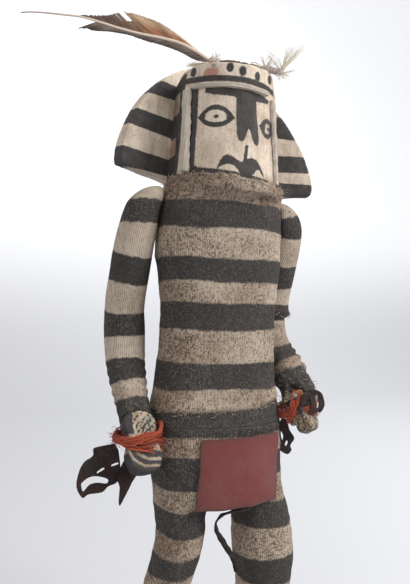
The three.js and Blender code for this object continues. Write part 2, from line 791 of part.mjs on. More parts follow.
function featherVane() {
  const upper = [
    [4.5, 1], [12.3, 6.4], [21.9, 13.3], [32.2, 20.6], [45.3, 27.4], [59, 31.2], [63.4, 31], [57, 22.1],
    [65.8, 29.6], [69.1, 32], [74.1, 31.2], [77.7, 29.8], [96.4, 29.6],
  ];
  const lower = [
    [96.6, 24.3], [90, 23], [95.4, 20], [86.8, 19.1], [66.6, 17.5], [52.1, 12.8], [30.4, 6.9],
    [15.8, 0.3], [4.5, -2.6],
  ];
  const shape = new THREE.Shape();
  const outline = [...upper, ...lower].map(([along, up]) => new THREE.Vector2(-along, up));
  shape.setFromPoints(outline);
  const geometry = new THREE.ExtrudeGeometry(shape, { depth: featherThickness, bevelEnabled: false });
  geometry.rotateX(Math.PI / 2);
  geometry.translate(0, featherThickness / 2, 0);
  return geometry;
}

function longFeather() {
  const points = shaftPoints.map(([along, up]) => crownPoint(along, up));
  const shaft = rod(points, shaftRadius, shaftRadius * 0.4, 6, 22);
  return joined(featherVane(), shaft).applyMatrix4(crownPose);
}

// A small fluffy feather under the long one.
function downFeather() {
  const points = [crownPoint(6, -4.2, -2), crownPoint(12.1, -4.6, -2), crownPoint(20.7, -5.4, -2)];
  return rod(points, 1.7, 0.5, 8, 5).applyMatrix4(crownPose);
}

// A ring or a wound binding: outer rod less the shaft's own hole.
function binding(points, outerRadius, holeRadius) {
  const sleeve = rod(points, outerRadius, outerRadius, 10, 5);
  if (!holeRadius) return sleeve;
  const first = points[0];
  const last = points[points.length - 1];
  const reach = last.clone().sub(first).multiplyScalar(0.2);
  const longer = [first.clone().sub(reach), ...points, last.clone().add(reach)];
  return cut(sleeve, rod(longer, holeRadius, holeRadius, 8, 5));
}

const quillLine = [
  [-4.2, -2.6], [-10.1, -2.1], [-16.6, -2.8], [-29, -5], [-40.5, -6.6], [-48, -7.8],
].map(([along, up]) => crownPoint(along, up, 0));

function crownKnot() {
  const points = [crownPoint(3.6, -0.4), crownPoint(0.2, -1.6), crownPoint(-3.2, -2.3)];
  return binding(points, knotRadius, shaftRadius + 2 * clearance).applyMatrix4(crownPose);
}

function quillWrap() {
  return binding(quillLine.slice(0, 4), wrapRadius).applyMatrix4(crownPose);
}

function frontThread(grow = 0) {
  const gap = new THREE.Vector3(2 * clearance - grow, 0, 0);
  const points = quillLine.slice(3).map((point, i) => (i === 0 ? point.clone().add(gap) : point.clone()));
  points[points.length - 1].x += grow;
  return binding(points, threadRadius + grow).applyMatrix4(crownPose);
}

// Wispy plumes that rise from the end of the thread.
function plumeTuft() {
  const base = quillLine[quillLine.length - 1];
  const foot = new THREE.Vector3(base.x + clearance, base.y, base.z);
  const tips = [
    [3.5, 20, -2], [9, 20.2, 1], [17, 21, 3], [-10, 14, -1], [5, 5, 2],
  ];
  const root = rod([foot, new THREE.Vector3(foot.x + 3, foot.y, foot.z + 1)], 2.2, 1.6, 8, 2);
  const wisps = tips.map(([x, z, y]) => {
    const start = new THREE.Vector3(foot.x + 1.6, foot.y, foot.z + 0.6);
    const end = new THREE.Vector3(foot.x + x, foot.y + y, foot.z + z);
    const bow = start.clone().lerp(end, 0.5).add(new THREE.Vector3(1.6, 0, -1));
    return rod([start, bow, end], 1, 0.35, 4, 4);
  });
  return cut(joined(root, ...wisps).applyMatrix4(crownPose), frontThread(clearance));
}

// Assembly

const doll = new THREE.Group();
const figure = new THREE.Group();
doll.add(figure);

function place(name, geometry, material) {
  const mesh = new THREE.Mesh(geometry, material);
  mesh.name = name;
  figure.add(mesh);
}

const grownHead = headBlock(clearance);
const grownBoard = board(clearance);
const trunk = limb(trunkStations, trunkShape);
const suit = joined(trunk, limb(legs.right, legShape), limb(legs.left, legShape), collar());
place("body", cut(suit, grownHead, grownBoard), knit);

const grownTrunk = limb(trunkStations, { ...trunkShape, grow: clearance });
const grownCollar = collar(clearance);
for (const side of ["right", "left"]) {
  const sleeve = limb(armStations[side], armShape);
  place(`arm_${side}`, cut(sleeve, grownTrunk, grownCollar, grownBoard, hand(side, clearance)), knit);
  place(`hand_${side}`, hand(side), paintedWood);
  place(`foot_${side}`, foot(side), paintedWood);
  const grownSleeve = limb(armStations[side], { ...armShape, grow: clearance });
  const band = cut(yarnBand(side), grownSleeve, hand(side, clearance), grownTrunk);
  place(`yarn_tie_${side}`, band, yarn);
}

place("head", headBlock(), paintedWood);
place("headdress_board", board(), paintedWood);
place("face_strip_top", topStrip(-66, 26), reed);
place("face_strip_right", sideStrip(-70.5, -63.7), reed);
place("face_strip_left", sideStrip(37, 53), reed);

for (const [name, strip] of Object.entries(strips)) {
  const held = [yarnBand(strip.side, clearance), hand(strip.side, clearance), grownTrunk];
  const label = name.replace(/[A-Z]/g, (letter) => `_${letter.toLowerCase()}`);
  place(`leather_${label}`, cut(leatherStrip(strip), ...held), leather);
}

place("loincloth", loincloth(), redCloth);
place("leg_thong", legThong(), leather);

place("long_feather", longFeather(), plume);
place("down_feather", downFeather(), plume);
place("crown_knot", crownKnot(), string);
place("quill_wrap", quillWrap(), leather);
place("front_thread", frontThread(), string);
place("plume_tuft", plumeTuft(), plume);

// The part's origin is the middle of its box on the ground.
const box = new THREE.Box3().setFromObject(figure);
const middle = box.getCenter(new THREE.Vector3());
figure.position.set(-middle.x, -middle.y, -box.min.z);

export default doll;
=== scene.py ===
"""A carved wooden doll in a banded knitted suit, dressed round its fixed frame.

Sizes are in millimetres in the doll's own frame: the upright axis of its trunk is X = Y = 0, the
soles are Z = 0, it faces -Y and its left hand is on the +X side. Mesh data is written in metres.
"""

import logging
import math
from dataclasses import dataclass, field
from enum import Enum

import bmesh
import bpy
import numpy as np
from mathutils import Matrix, Vector


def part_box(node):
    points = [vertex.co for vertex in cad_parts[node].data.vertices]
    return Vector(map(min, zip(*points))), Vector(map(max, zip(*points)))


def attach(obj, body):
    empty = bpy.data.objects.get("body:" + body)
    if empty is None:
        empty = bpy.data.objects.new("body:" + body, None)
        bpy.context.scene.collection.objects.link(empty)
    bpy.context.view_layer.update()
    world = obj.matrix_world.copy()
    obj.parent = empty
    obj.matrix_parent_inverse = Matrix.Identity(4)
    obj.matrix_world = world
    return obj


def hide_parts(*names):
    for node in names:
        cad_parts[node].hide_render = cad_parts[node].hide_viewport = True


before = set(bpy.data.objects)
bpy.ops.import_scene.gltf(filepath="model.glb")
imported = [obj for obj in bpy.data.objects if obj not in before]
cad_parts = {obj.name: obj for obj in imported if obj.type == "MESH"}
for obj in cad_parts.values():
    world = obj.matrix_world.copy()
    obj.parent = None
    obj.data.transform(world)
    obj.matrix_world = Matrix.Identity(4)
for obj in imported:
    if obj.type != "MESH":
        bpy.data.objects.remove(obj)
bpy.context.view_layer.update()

logging.basicConfig(level=logging.INFO, format="%(message)s")
log = logging.getLogger("doll")

Array = np.ndarray
Material = bpy.types.Material
Node = bpy.types.Node
Piece = bpy.types.Object
Socket = bpy.types.NodeSocket
Tree = bpy.types.NodeTree
Rgb = tuple[int, int, int]
Triple = tuple[float, float, float]
Corners = list[tuple[float, float]]
Kinds = list[tuple[str, str]]

MM = 0.001
TINY = 1e-12  # keeps a division by a side without length safe
OUTSIDE = -5.0  # distance to paint where there is none near
ANKLE_MIDDLE = 0.97  # X halfway between the two ankles, from the doll's axis
FOOT_MIDDLE = -5.4  # Y of the middle of a foot, from the doll's axis


def node_box(node: str) -> tuple[Array, Array]:
    """The lowest and highest corner of a node, in millimetres in the part's frame."""
    low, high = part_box(node)
    return np.array(low) / MM, np.array(high) / MM


def axis_place() -> Array:
    """Where the doll's axis meets the ground in the part's frame, from the two feet."""
    corners = np.array([node_box("foot_right"), node_box("foot_left")])
    middle = corners.mean(axis=(0, 1))
    return np.array([middle[0] - ANKLE_MIDDLE, middle[1] - FOOT_MIDDLE, 0.0])


AXIS = axis_place()


# Surfaces


@dataclass
class Skin:
    """One surface: points in millimetres, faces, and named values per point."""

    points: Array
    quads: Array
    tris: Array = field(default_factory=lambda: np.zeros((0, 3), int))
    values: dict[str, Array] = field(default_factory=dict)


def grid_skin(points: Array, values: dict[str, Array] | None = None, closed: bool = True) -> Skin:
    """A tube from a grid of points.

    Neighbouring rows and columns are joined by four-sided faces; the columns run round and meet,
    and each open end is closed by a fan round the mean of its row.

    Args:
        points: rows by columns by three.
        values: named values, rows by columns each.
        closed: whether the two ends are capped.

    Returns:
        The closed surface.
    """
    rows, columns, _ = points.shape
    row, column = np.meshgrid(np.arange(rows - 1), np.arange(columns), indexing="ij")
    following = (column + 1) % columns
    corner = row * columns + column
    aside = row * columns + following
    quads = np.stack([corner, aside, aside + columns, corner + columns], -1).reshape(-1, 4)
    flat = points.reshape(-1, 3)
    held = {name: value.reshape(-1) for name, value in (values or {}).items()}
    if not closed:
        return Skin(flat, quads, values=held)
    poles = np.stack([points[0].mean(0), points[-1].mean(0)])
    first = np.arange(columns)
    last = (rows - 1) * columns + first
    start = rows * columns
    low = np.stack([np.roll(first, -1), first, np.full(columns, start)], -1)
    high = np.stack([last, np.roll(last, -1), np.full(columns, start + 1)], -1)
    for name, value in (values or {}).items():
        held[name] = np.concatenate([held[name], [value[0].mean(), value[-1].mean()]])
    return Skin(np.concatenate([flat, poles]), quads, np.concatenate([low, high]), held)


def joined(skins: list[Skin]) -> Skin:
    """Several surfaces as one, with zeros where a surface lacks a value."""
    names = sorted({name for skin in skins for name in skin.values})
    starts = np.cumsum([0] + [len(skin.points) for skin in skins])[:-1]
    values = {
        name: np.concatenate([skin.values.get(name, np.zeros(len(skin.points))) for skin in skins])
        for name in names
    }
    return Skin(
        np.concatenate([skin.points for skin in skins]),
        np.concatenate([skin.quads + start for skin, start in zip(skins, starts)]),
        np.concatenate([skin.tris + start for skin, start in zip(skins, starts)]),
        values,
    )


def frames_along(path: Array, up: Array) -> tuple[Array, Array]:
    """Two directions square to a path: the first is the tangent crossed with up, the second squares both."""
    tangent = np.gradient(path, axis=0)
    tangent /= np.linalg.norm(tangent, axis=1, keepdims=True) + 1e-9
    across = np.cross(tangent, up)
    across /= np.linalg.norm(across, axis=1, keepdims=True) + 1e-9
    return across, np.cross(across, tangent)


def tube(
    path: Array,
    radius: Array | float,
    sides: int = 8,
    up: Triple = (0, 0, 1),
    flat: float = 1.0,
    strand_twist: float = 0.0,
) -> Skin:
    """A round or flattened strand along a path.

    Each point is path + radius * (across * cos a + flat * other * sin a); with a strand twist the
    radius swells twice per turn, by an eighth, and the swelling winds along the path.

    Args:
        path: points of the middle line.
        radius: one radius, or one per point.
        sides: points round the strand.
        up: direction kept out of the path's own direction.
        flat: thickness as a share of the width.
        strand_twist: turns per millimetre of a two-ply twist.

    Returns:
        The closed strand, with "run" in millimetres along it and "round" in turns round it.
    """
    across, other = frames_along(path, np.array(up, float))
    angle = np.arange(sides) / sides * 2 * math.pi
    run = np.concatenate([[0], np.cumsum(np.linalg.norm(np.diff(path, axis=0), axis=1))])
    size = np.broadcast_to(np.asarray(radius, float), (len(path),))[:, None]
    if strand_twist:
        ply = 2 * angle[None, :] - 2 * math.pi * strand_twist * run[:, None]
        size = size * (1 + 0.125 * np.cos(ply))
    ring = size[..., None] * (
        across[:, None] * np.cos(angle)[None, :, None] + flat * other[:, None] * np.sin(angle)[None, :, None]
    )
    points = path[:, None] + ring
    held = {
        "run": np.repeat(run[:, None], sides, 1),
        "round": np.repeat(angle[None, :] / (2 * math.pi), len(path), 0),
    }
    return grid_skin(points, held)


def smooth_path(points: list[tuple[float, ...]], count: int) -> Array:
    """A Catmull-Rom curve through points: cubic pieces whose slope at a point follows its two neighbours."""
    knots = np.array(points, float)
    padded = np.concatenate([2 * knots[:1] - knots[1:2], knots, 2 * knots[-1:] - knots[-2:-1]])
    t = np.linspace(0, len(knots) - 1, count)
    index = np.minimum(t.astype(int), len(knots) - 2)
    u = (t - index)[:, None]
    a, b, c, d = (padded[index + k] for k in range(4))
    return 0.5 * (2 * b + (c - a) * u + (2 * a - 5 * b + 4 * c - d) * u**2 + (3 * b - a - 3 * c + d) * u**3)


def ripples(points: Array, scale: float, seed: int) -> Array:
    """Smooth noise from -1 to 1: the mean of sine waves of about the given length in random directions."""
    rng, waves = np.random.default_rng(seed), 9
    total = np.zeros(len(points))
    for _ in range(waves):
        direction = rng.normal(size=3)
        direction /= np.linalg.norm(direction)
        length = scale * rng.uniform(0.7, 1.6)
        total += np.sin(points @ direction * 2 * math.pi / length + rng.uniform(0, 2 * math.pi))
    return total / math.sqrt(waves)


def bell(value: Array, middle: float, width: float) -> Array:
    """A smooth hump: e to the power of minus the square of the way from the middle over the width."""
    return np.exp(-(((value - middle) / width) ** 2))


def rise(value: Array, start: float, run: float) -> Array:
    """A straight climb from 0 at the start to 1 after the run; a run below 0 climbs the other way."""
    return np.clip((value - start) / run, 0, 1)


def outward(skin: Skin) -> Array:
    """Unit normals per point: the sum of the crossed diagonals of the faces that meet there."""
    corners = skin.points[skin.quads]
    normal = np.cross(corners[:, 2] - corners[:, 0], corners[:, 3] - corners[:, 1])
    total = np.zeros_like(skin.points)
    for side in range(4):
        np.add.at(total, skin.quads[:, side], normal)
    return total / (np.linalg.norm(total, axis=1, keepdims=True) + 1e-9)


def swollen(skin: Skin, by: Array) -> Array:
    """The surface's points, each moved out along its normal."""
    return skin.points + outward(skin) * by[:, None]


def carved_copy(node: str, voxel: float, smoothing: int) -> Skin:
    """A node's form as an even, smoothed surface of small four-sided faces.

    Args:
        node: the frame's node.
        voxel: face size in millimetres.
        smoothing: how often each point moves halfway to the mean of its neighbours.

    Returns:
        The surface in the doll's own frame.
    """
    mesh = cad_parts[node].data.copy()
    shell = bmesh.new()
    shell.from_mesh(mesh)
    bmesh.ops.remove_doubles(shell, verts=shell.verts, dist=1e-6)
    shell.to_mesh(mesh)
    shell.free()
    worked = bpy.data.objects.new("worked", mesh)
    bpy.context.scene.collection.objects.link(worked)
    remesh = worked.modifiers.new("even", "REMESH")
    remesh.mode = "VOXEL"
    remesh.voxel_size = voxel * MM
    soften = worked.modifiers.new("soften", "SMOOTH")
    soften.factor = 0.5
    soften.iterations = smoothing
    graph = bpy.context.evaluated_depsgraph_get()
    even = worked.evaluated_get(graph).data
    points = np.zeros(len(even.vertices) * 3)
    even.vertices.foreach_get("co", points)
    loops = np.zeros(len(even.loops), int)
    even.loops.foreach_get("vertex_index", loops)
    bpy.data.objects.remove(worked)
    bpy.data.meshes.remove(mesh)
    return Skin(points.reshape(-1, 3) / MM - AXIS, loops.reshape(-1, 4))


def write_mesh(name: str, skin: Skin) -> Piece:
    """Puts a surface into a new object at the origin, in metres, with its values as point attributes."""
    mesh = bpy.data.meshes.new(name)
    mesh.vertices.add(len(skin.points))
    mesh.vertices.foreach_set("co", ((skin.points + AXIS) * MM).astype(np.float32).ravel())
    loops = np.concatenate([skin.quads.ravel(), skin.tris.ravel()])
    sizes = np.concatenate([np.full(len(skin.quads), 4), np.full(len(skin.tris), 3)])
    mesh.loops.add(len(loops))
    mesh.loops.foreach_set("vertex_index", loops)
    mesh.polygons.add(len(sizes))
    mesh.polygons.foreach_set("loop_start", np.concatenate([[0], np.cumsum(sizes)[:-1]]))
    mesh.polygons.foreach_set("use_smooth", np.ones(len(sizes), bool))
    mesh.update(calc_edges=True)
    for key, value in skin.values.items():
        attribute = mesh.attributes.new(key, "FLOAT", "POINT")
        attribute.data.foreach_set("value", value.astype(np.float32))
    piece = bpy.data.objects.new(name, mesh)
    bpy.context.scene.collection.objects.link(piece)
    return piece


def face_outwards(piece: Piece) -> None:
    """Turns every closed shell of a piece so that its faces look out."""
    shell = bmesh.new()
    shell.from_mesh(piece.data)
    bmesh.ops.recalc_face_normals(shell, faces=shell.faces)
    shell.to_mesh(piece.data)
    shell.free()


class Slot(Enum):
    """The record's material slots."""

    KNIT = "knit"
    WOOD = "painted_wood"
    REED = "reed"
    PLUME = "plume"
    YARN = "yarn"
    STRING = "string"
    LEATHER = "leather"
    CLOTH = "red_cloth"


def add_piece(
    name: str, skin: Skin, material: Material, nodes: list[str], turn: bool = False
) -> None:
    """Makes one finished piece that stands for nodes of the frame.

    Args:
        name: the piece's name.
        skin: its surface.
        material: its finish.
        nodes: the nodes it replaces.
        turn: whether its shells still need turning outwards.
    """
    piece = write_mesh(name, skin)
    if turn:
        face_outwards(piece)
    piece.data.materials.append(material)
    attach(piece, "root")
    if nodes:
        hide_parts(*nodes)
    log.info("%s: %d points, %d faces", name, len(skin.points), len(skin.quads) + len(skin.tris))


# Distances, positive inside, for what is painted


def paint(black: Array, stain: Array, **areas: Array) -> dict[str, Array]:
    """The painted wood's values; an area that isn't given lies far outside."""
    bare = np.full(len(black), OUTSIDE)
    return {"red": bare, "green": bare, "black": black, "stain": stain} | areas


def from_side(x: Array, y: Array, start: tuple[float, float], end: tuple[float, float]) -> Array:
    """Distance from a straight side: to its nearest point, found along it and kept between its ends."""
    (ax, ay), (bx, by) = start, end
    dx, dy = bx - ax, by - ay
    t = np.clip(((x - ax) * dx + (y - ay) * dy) / (dx * dx + dy * dy + TINY), 0, 1)
    return np.hypot(x - ax - t * dx, y - ay - t * dy)


def in_polygon(x: Array, y: Array, corners: Corners) -> Array:
    """The least distance to a polygon's sides, positive inside, by counting the sides that a ray crosses."""
    sides = list(zip(corners, corners[1:] + corners[:1]))
    best = np.min([from_side(x, y, start, end) for start, end in sides], axis=0)
    inside = np.zeros(x.shape, bool)
    for (ax, ay), (bx, by) in sides:
        inside ^= ((ay > y) != (by > y)) & (x < (bx - ax) * (y - ay) / (by - ay + TINY) + ax)
    return np.where(inside, best, -best)


def in_stroke(x: Array, y: Array, line: Corners, half: float) -> Array:
    """Distance into a brush stroke of a given half width along a bent line."""
    return half - np.min([from_side(x, y, start, end) for start, end in zip(line[:-1], line[1:])], axis=0)


def in_oval(x: Array, y: Array, middle: tuple[float, float], half: tuple[float, float]) -> Array:
    """About the distance into an oval: the least half size times one less the scaled radius."""
    radius = np.hypot((x - middle[0]) / half[0], (y - middle[1]) / half[1])
    return (1 - radius) * min(half)


def in_bands(along: Array, bands: Corners) -> Array:
    """Distance into the nearest of several bands given as upper and lower edge."""
    return np.max([np.minimum(top - along, along - low) for top, low in bands], axis=0)


# Materials


def colour(red: int, green: int, blue: int) -> tuple[float, float, float, float]:
    """A screen colour of 0 to 255 as light, by the usual power curve."""
    return (*[((c / 255 + 0.055) / 1.055) ** 2.4 if c > 10 else c / 3295 for c in (red, green, blue)], 1.0)


class Graph:
    """Short ways to place and wire the nodes of one material or group."""

    def __init__(self, tree: Tree) -> None:
        """Keeps the node tree that is worked on."""
        self.tree = tree

    def put(self, node: Node, key: str | int, value: object) -> None:
        """Links a socket into an input, or sets the input's own value."""
        if value is None:
            return
        if isinstance(value, Socket):
            self.tree.links.new(value, node.inputs[key])
        else:
            node.inputs[key].default_value = value

    def add(self, kind: str, inputs: dict[str | int, object] | None = None, **settings: object) -> Node:
        """A new node with its settings and inputs."""
        node = self.tree.nodes.new("ShaderNode" + kind)
        for key, value in settings.items():
            setattr(node, key, value)
        for key, value in (inputs or {}).items():
            self.put(node, key, value)
        return node

    def value(self, name: str) -> Socket:
        """A named value of the surface."""
        return self.add("Attribute", attribute_name=name).outputs["Fac"]

    def place(self) -> Socket:
        """The point in the object's own coordinates."""
        return self.add("TexCoord").outputs["Object"]

    def math(self, operation: str, a: object, b: object = None, c: object = None) -> Socket:
        """One sum on numbers."""
        return self.add("Math", {0: a, 1: b, 2: c}, operation=operation).outputs[0]

    def times(self, a: object, b: object) -> Socket:
        """A product."""
        return self.math("MULTIPLY", a, b)

    def plus(self, a: object, b: object) -> Socket:
        """A sum."""
        return self.math("ADD", a, b)

    def minus(self, a: object, b: object) -> Socket:
        """A difference."""
        return self.math("SUBTRACT", a, b)

    def ramp(self, value: object, low: float, high: float, start: float = 0.0, end: float = 1.0) -> Socket:
        """A smooth step from start to end as the value goes from low to high."""
        inputs = {0: value, 1: low, 2: high, 3: start, 4: end}
        return self.add("MapRange", inputs, interpolation_type="SMOOTHSTEP").outputs[0]

    def mix(self, share: object, a: object, b: object) -> Socket:
        """A colour between two, each a socket or three screen values."""
        a, b = (colour(*tone) if isinstance(tone, tuple) else tone for tone in (a, b))
        return self.add("Mix", {0: share, 6: a, 7: b}, data_type="RGBA").outputs[2]

    def noise(self, vector: Socket, scale: object, detail: float = 3.0, rough: float = 0.55) -> Socket:
        """Cloudy noise from 0 to 1, about 0.5."""
        inputs = {"Vector": vector, "Scale": scale, "Detail": detail, "Roughness": rough}
        return self.add("TexNoise", inputs).outputs[0]

    def vector(self, x: object, y: object, z: object = 0.0) -> Socket:
        """Three numbers as a vector."""
        return self.add("CombineXYZ", {0: x, 1: y, 2: z}).outputs[0]

    def stretched(self, vector: object, scale: Triple) -> Socket:
        """A vector scaled along each axis."""
        return self.add("VectorMath", {0: vector, 1: scale}, operation="MULTIPLY").outputs[0]

    def group(self, tree: Tree, inputs: dict[str, object]) -> Node:
        """A group node with its inputs."""
        node = self.tree.nodes.new("ShaderNodeGroup")
        node.node_tree = tree
        for key, value in inputs.items():
            self.put(node, key, value)
        return node


def new_group(name: str, inputs: Kinds, outputs: Kinds) -> tuple[Graph, dict, Node]:
    """An empty shader group.

    Args:
        name: the group's name.
        inputs: names and kinds of its inputs.
        outputs: names and kinds of its outputs.

    Returns:
        Its graph, its inputs by name, and its output node.
    """
    tree = bpy.data.node_groups.new(name, "ShaderNodeTree")
    for direction, sockets in (("INPUT", inputs), ("OUTPUT", outputs)):
        for label, kind in sockets:
            tree.interface.new_socket(label, in_out=direction, socket_type="NodeSocket" + kind)
    entry = tree.nodes.new("NodeGroupInput")
    exit_node = tree.nodes.new("NodeGroupOutput")
    return Graph(tree), {label: entry.outputs[label] for label, _ in inputs}, exit_node


def speckle_group() -> Tree:
    """Grime and specks: cloudy noise at one scale, and fine dark points four times finer, as two masks."""
    graph, given, out = new_group(
        "Speckle", [("Vector", "Vector"), ("Scale", "Float")], [("Clouds", "Float"), ("Specks", "Float")]
    )
    clouds = graph.noise(given["Vector"], given["Scale"], 4.0, 0.6)
    fine = graph.noise(given["Vector"], graph.times(given["Scale"], 4.0), 3.0, 0.7)
    graph.put(out, "Clouds", graph.ramp(clouds, 0.35, 0.68))
    graph.put(out, "Specks", graph.ramp(fine, 0.52, 0.66))
    return graph.tree


def brushed_edge_group() -> Tree:
    """A painted area's mask: its distance from the edge, made uneven by noise, past a soft step."""
    graph, given, out = new_group(
        "Brushed edge",
        [("Vector", "Vector"), *[(key, "Float") for key in ("Distance", "Scale", "Unevenness", "Softness")]],
        [("Mask", "Float")],
    )
    uneven = graph.noise(given["Vector"], given["Scale"], 3.0, 0.6)
    shift = graph.times(graph.minus(uneven, 0.5), given["Unevenness"])
    distance = graph.plus(given["Distance"], shift)
    graph.put(out, "Mask", graph.ramp(graph.math("DIVIDE", distance, given["Softness"]), -1.0, 1.0))
    return graph.tree


def fibre_group() -> Tree:
    """Fine streaks along a strand: noise on its length and its way round, drawn out lengthwise."""
    graph, given, out = new_group(
        "Fibres", [("Run", "Float"), ("Round", "Float"), ("Fineness", "Float")], [("Streaks", "Float")]
    )
    vector = graph.vector(graph.times(given["Run"], 0.25), graph.times(given["Round"], 9.0))
    streaks = graph.noise(vector, given["Fineness"], 4.0, 0.65)
    graph.put(out, "Streaks", graph.ramp(streaks, 0.3, 0.7))
    return graph.tree


@dataclass(frozen=True)
class Effects:
    """The shared groups."""

    speckle: Tree
    edge: Tree
    fibres: Tree

    @classmethod
    def make(cls) -> "Effects":
        """Builds the three groups."""
        return cls(speckle_group(), brushed_edge_group(), fibre_group())

    def clouded(self, graph: Graph, scale: float) -> tuple[Socket, Socket]:
        """Masks of grime clouds and of finer specks."""
        node = graph.group(self.speckle, {"Vector": graph.place(), "Scale": scale})
        return node.outputs["Clouds"], node.outputs["Specks"]

    def painted(self, graph: Graph, area: str, scale: float, uneven: float, soft: float) -> Socket:
        """The mask of a painted area, from the surface's own distance to its edge."""
        inputs = {"Distance": graph.value(area), "Vector": graph.place(), "Scale": scale}
        return graph.group(self.edge, inputs | {"Unevenness": uneven, "Softness": soft}).outputs[0]


def new_material(name: str) -> tuple[Graph, Node]:
    """A material with a Principled shader; returns its graph and the shader."""
    material = bpy.data.materials.new(name)
    material.use_nodes = True
    return Graph(material.node_tree), material.node_tree.nodes["Principled BSDF"]


def bump(graph: Graph, shader: Node, height: object, depth: float) -> None:
    """Feeds a height, in metres at full value, to a shader's normal."""
    graph.put(shader, "Normal", graph.add("Bump", {"Height": height, "Distance": depth}).outputs[0])


@dataclass(frozen=True)
class Finish:
    """One material; each kind of finish wires its own colours and relief."""

    name: str

    def make(self, effects: Effects) -> Material:
        """A new material, wired by the finish."""
        graph, shader = new_material(self.name)
        self.wire(graph, shader, effects)
        return bpy.data.materials[self.name]

    def wire(self, graph: Graph, shader: Node, effects: Effects) -> None:
        """Wires the shader; a finish without colours of its own leaves it plain."""


@dataclass(frozen=True)
class KnitFinish(Finish):
    """Fine stocking knit, painted in black and cream."""

    name: str = "painted knit"
    cream: Rgb = (198, 183, 165)
    tan: Rgb = (142, 118, 98)
    grime: Rgb = (72, 56, 46)
    black: Rgb = (60, 58, 57)
    worn: Rgb = (140, 128, 117)
    shadow: Rgb = (32, 29, 28)
    wale: float = 1.3
    course: float = 1.0

    def wire(self, graph: Graph, shader: Node, effects: Effects) -> None:
        """Stitches are slanting waves mirrored in each wale, and each stitch takes its own share of grime and
        painted shade.
        """
        around, along, soiled = (graph.value(name) for name in ("around", "along", "soiled"))
        bend = graph.times(graph.minus(graph.noise(graph.place(), 90.0, 2.0), 0.5), 2.4)
        column = graph.math("DIVIDE", graph.plus(around, bend), self.wale)
        off = graph.math("ABSOLUTE", graph.minus(graph.math("FRACT", column), 0.5))
        rib = graph.math("SINE", graph.times(graph.minus(0.5, off), math.pi))
        climb = graph.plus(graph.math("DIVIDE", along, self.course), graph.times(off, 1.3))
        wave = graph.math("SINE", graph.times(climb, 2 * math.pi))
        stitch = graph.times(graph.plus(wave, 1.0), 0.5)
        height = graph.plus(graph.times(rib, 0.55), graph.times(stitch, 0.45))
        cell = graph.vector(graph.math("FLOOR", column), graph.math("FLOOR", climb))
        chance = graph.add("TexWhiteNoise", {"Vector": cell}).outputs["Value"]
        fine, specks = effects.clouded(graph, 240.0)
        blots, _ = effects.clouded(graph, 26.0)
        gap = graph.ramp(height, 0.72, 0.2)
        # soil and shade carries grime and, on the doll's right side, painted shade; both raise the grime and
        # the tan tone
        luck = graph.times(graph.ramp(chance, graph.minus(0.62, soiled), 1.2), 0.95)
        dirt = graph.math("MAXIMUM", graph.times(gap, graph.ramp(fine, 0.0, 1.0, 0.45, 1.0)), luck)
        tone = graph.plus(graph.times(blots, 0.4), graph.times(soiled, 0.5))
        cream = graph.mix(dirt, graph.mix(tone, self.cream, self.tan), self.grime)
        scuffed = graph.times(graph.ramp(chance, 0.5, 1.0), graph.ramp(blots, 0.0, 1.0, 0.12, 0.4))
        scuffed = graph.math("MAXIMUM", scuffed, graph.times(specks, 0.42))
        dark = graph.mix(scuffed, self.black, self.worn)
        dark = graph.mix(graph.times(gap, 0.6), dark, self.shadow)
        black = effects.painted(graph, "black", 420.0, 2.6, 0.85)
        graph.put(shader, "Base Color", graph.mix(black, cream, dark))
        shader.inputs["Roughness"].default_value = 0.95
        shader.inputs["Specular IOR Level"].default_value = 0.2
        bump(graph, shader, graph.plus(height, graph.times(graph.plus(chance, fine), 0.4)), 0.0005)


@dataclass(frozen=True)
class PaintedWood(Finish):
    """Chalky paint brushed on soft carved root wood."""

    cream: Rgb = (215, 201, 184)
    shade: Rgb = (152, 132, 112)
    black: Rgb = (45, 44, 46)
    speck_scale: float = 160.0
    speck_share: float = 0.4

    def wire(self, graph: Graph, shader: Node, effects: Effects) -> None:
        """Cream mottled by clouds, then red, green-grey and black areas with brushed edges, then wear."""
        place = graph.place()
        fine, specks = effects.clouded(graph, self.speck_scale)
        broad, _ = effects.clouded(graph, 38.0)
        grain = graph.noise(graph.stretched(place, (420.0, 420.0, 40.0)), 1.0, 3.0)
        base = graph.mix(graph.times(broad, 0.45), self.cream, self.shade)
        base = graph.mix(graph.times(specks, self.speck_share), base, (104, 86, 72))
        base = graph.mix(graph.ramp(grain, 0.45, 0.75, 0.0, 0.5), base, (166, 146, 122))
        # stains, and on the head also painted shade, darken the cream towards brown
        stain = graph.times(graph.value("stain"), graph.ramp(broad, 0.0, 1.0, 0.6, 1.0))
        base = graph.mix(stain, base, (104, 78, 52))
        areas = (
            ("red", (150, 84, 72), 0.75, 1.2),
            ("green", (122, 128, 118), 0.8, 0.45),
            ("black", self.black, 0.97, 0.45),
        )
        for area, tint, strength, soft in areas:
            mask = effects.painted(graph, area, 600.0, 1.3, soft)
            thin = graph.ramp(fine, 0.0, 1.0, strength, strength - 0.03)
            base = graph.mix(graph.times(mask, thin), base, tint)
        chips = graph.times(graph.ramp(graph.noise(place, 900.0, 2.0), 0.68, 0.74), 0.5)
        graph.put(shader, "Base Color", graph.mix(chips, base, (168, 158, 146)))
        graph.put(shader, "Roughness", graph.ramp(broad, 0.0, 1.0, 0.9, 0.72))
        shader.inputs["Specular IOR Level"].default_value = 0.3
        bump(graph, shader, graph.plus(fine, graph.times(grain, 0.8)), 0.00022)


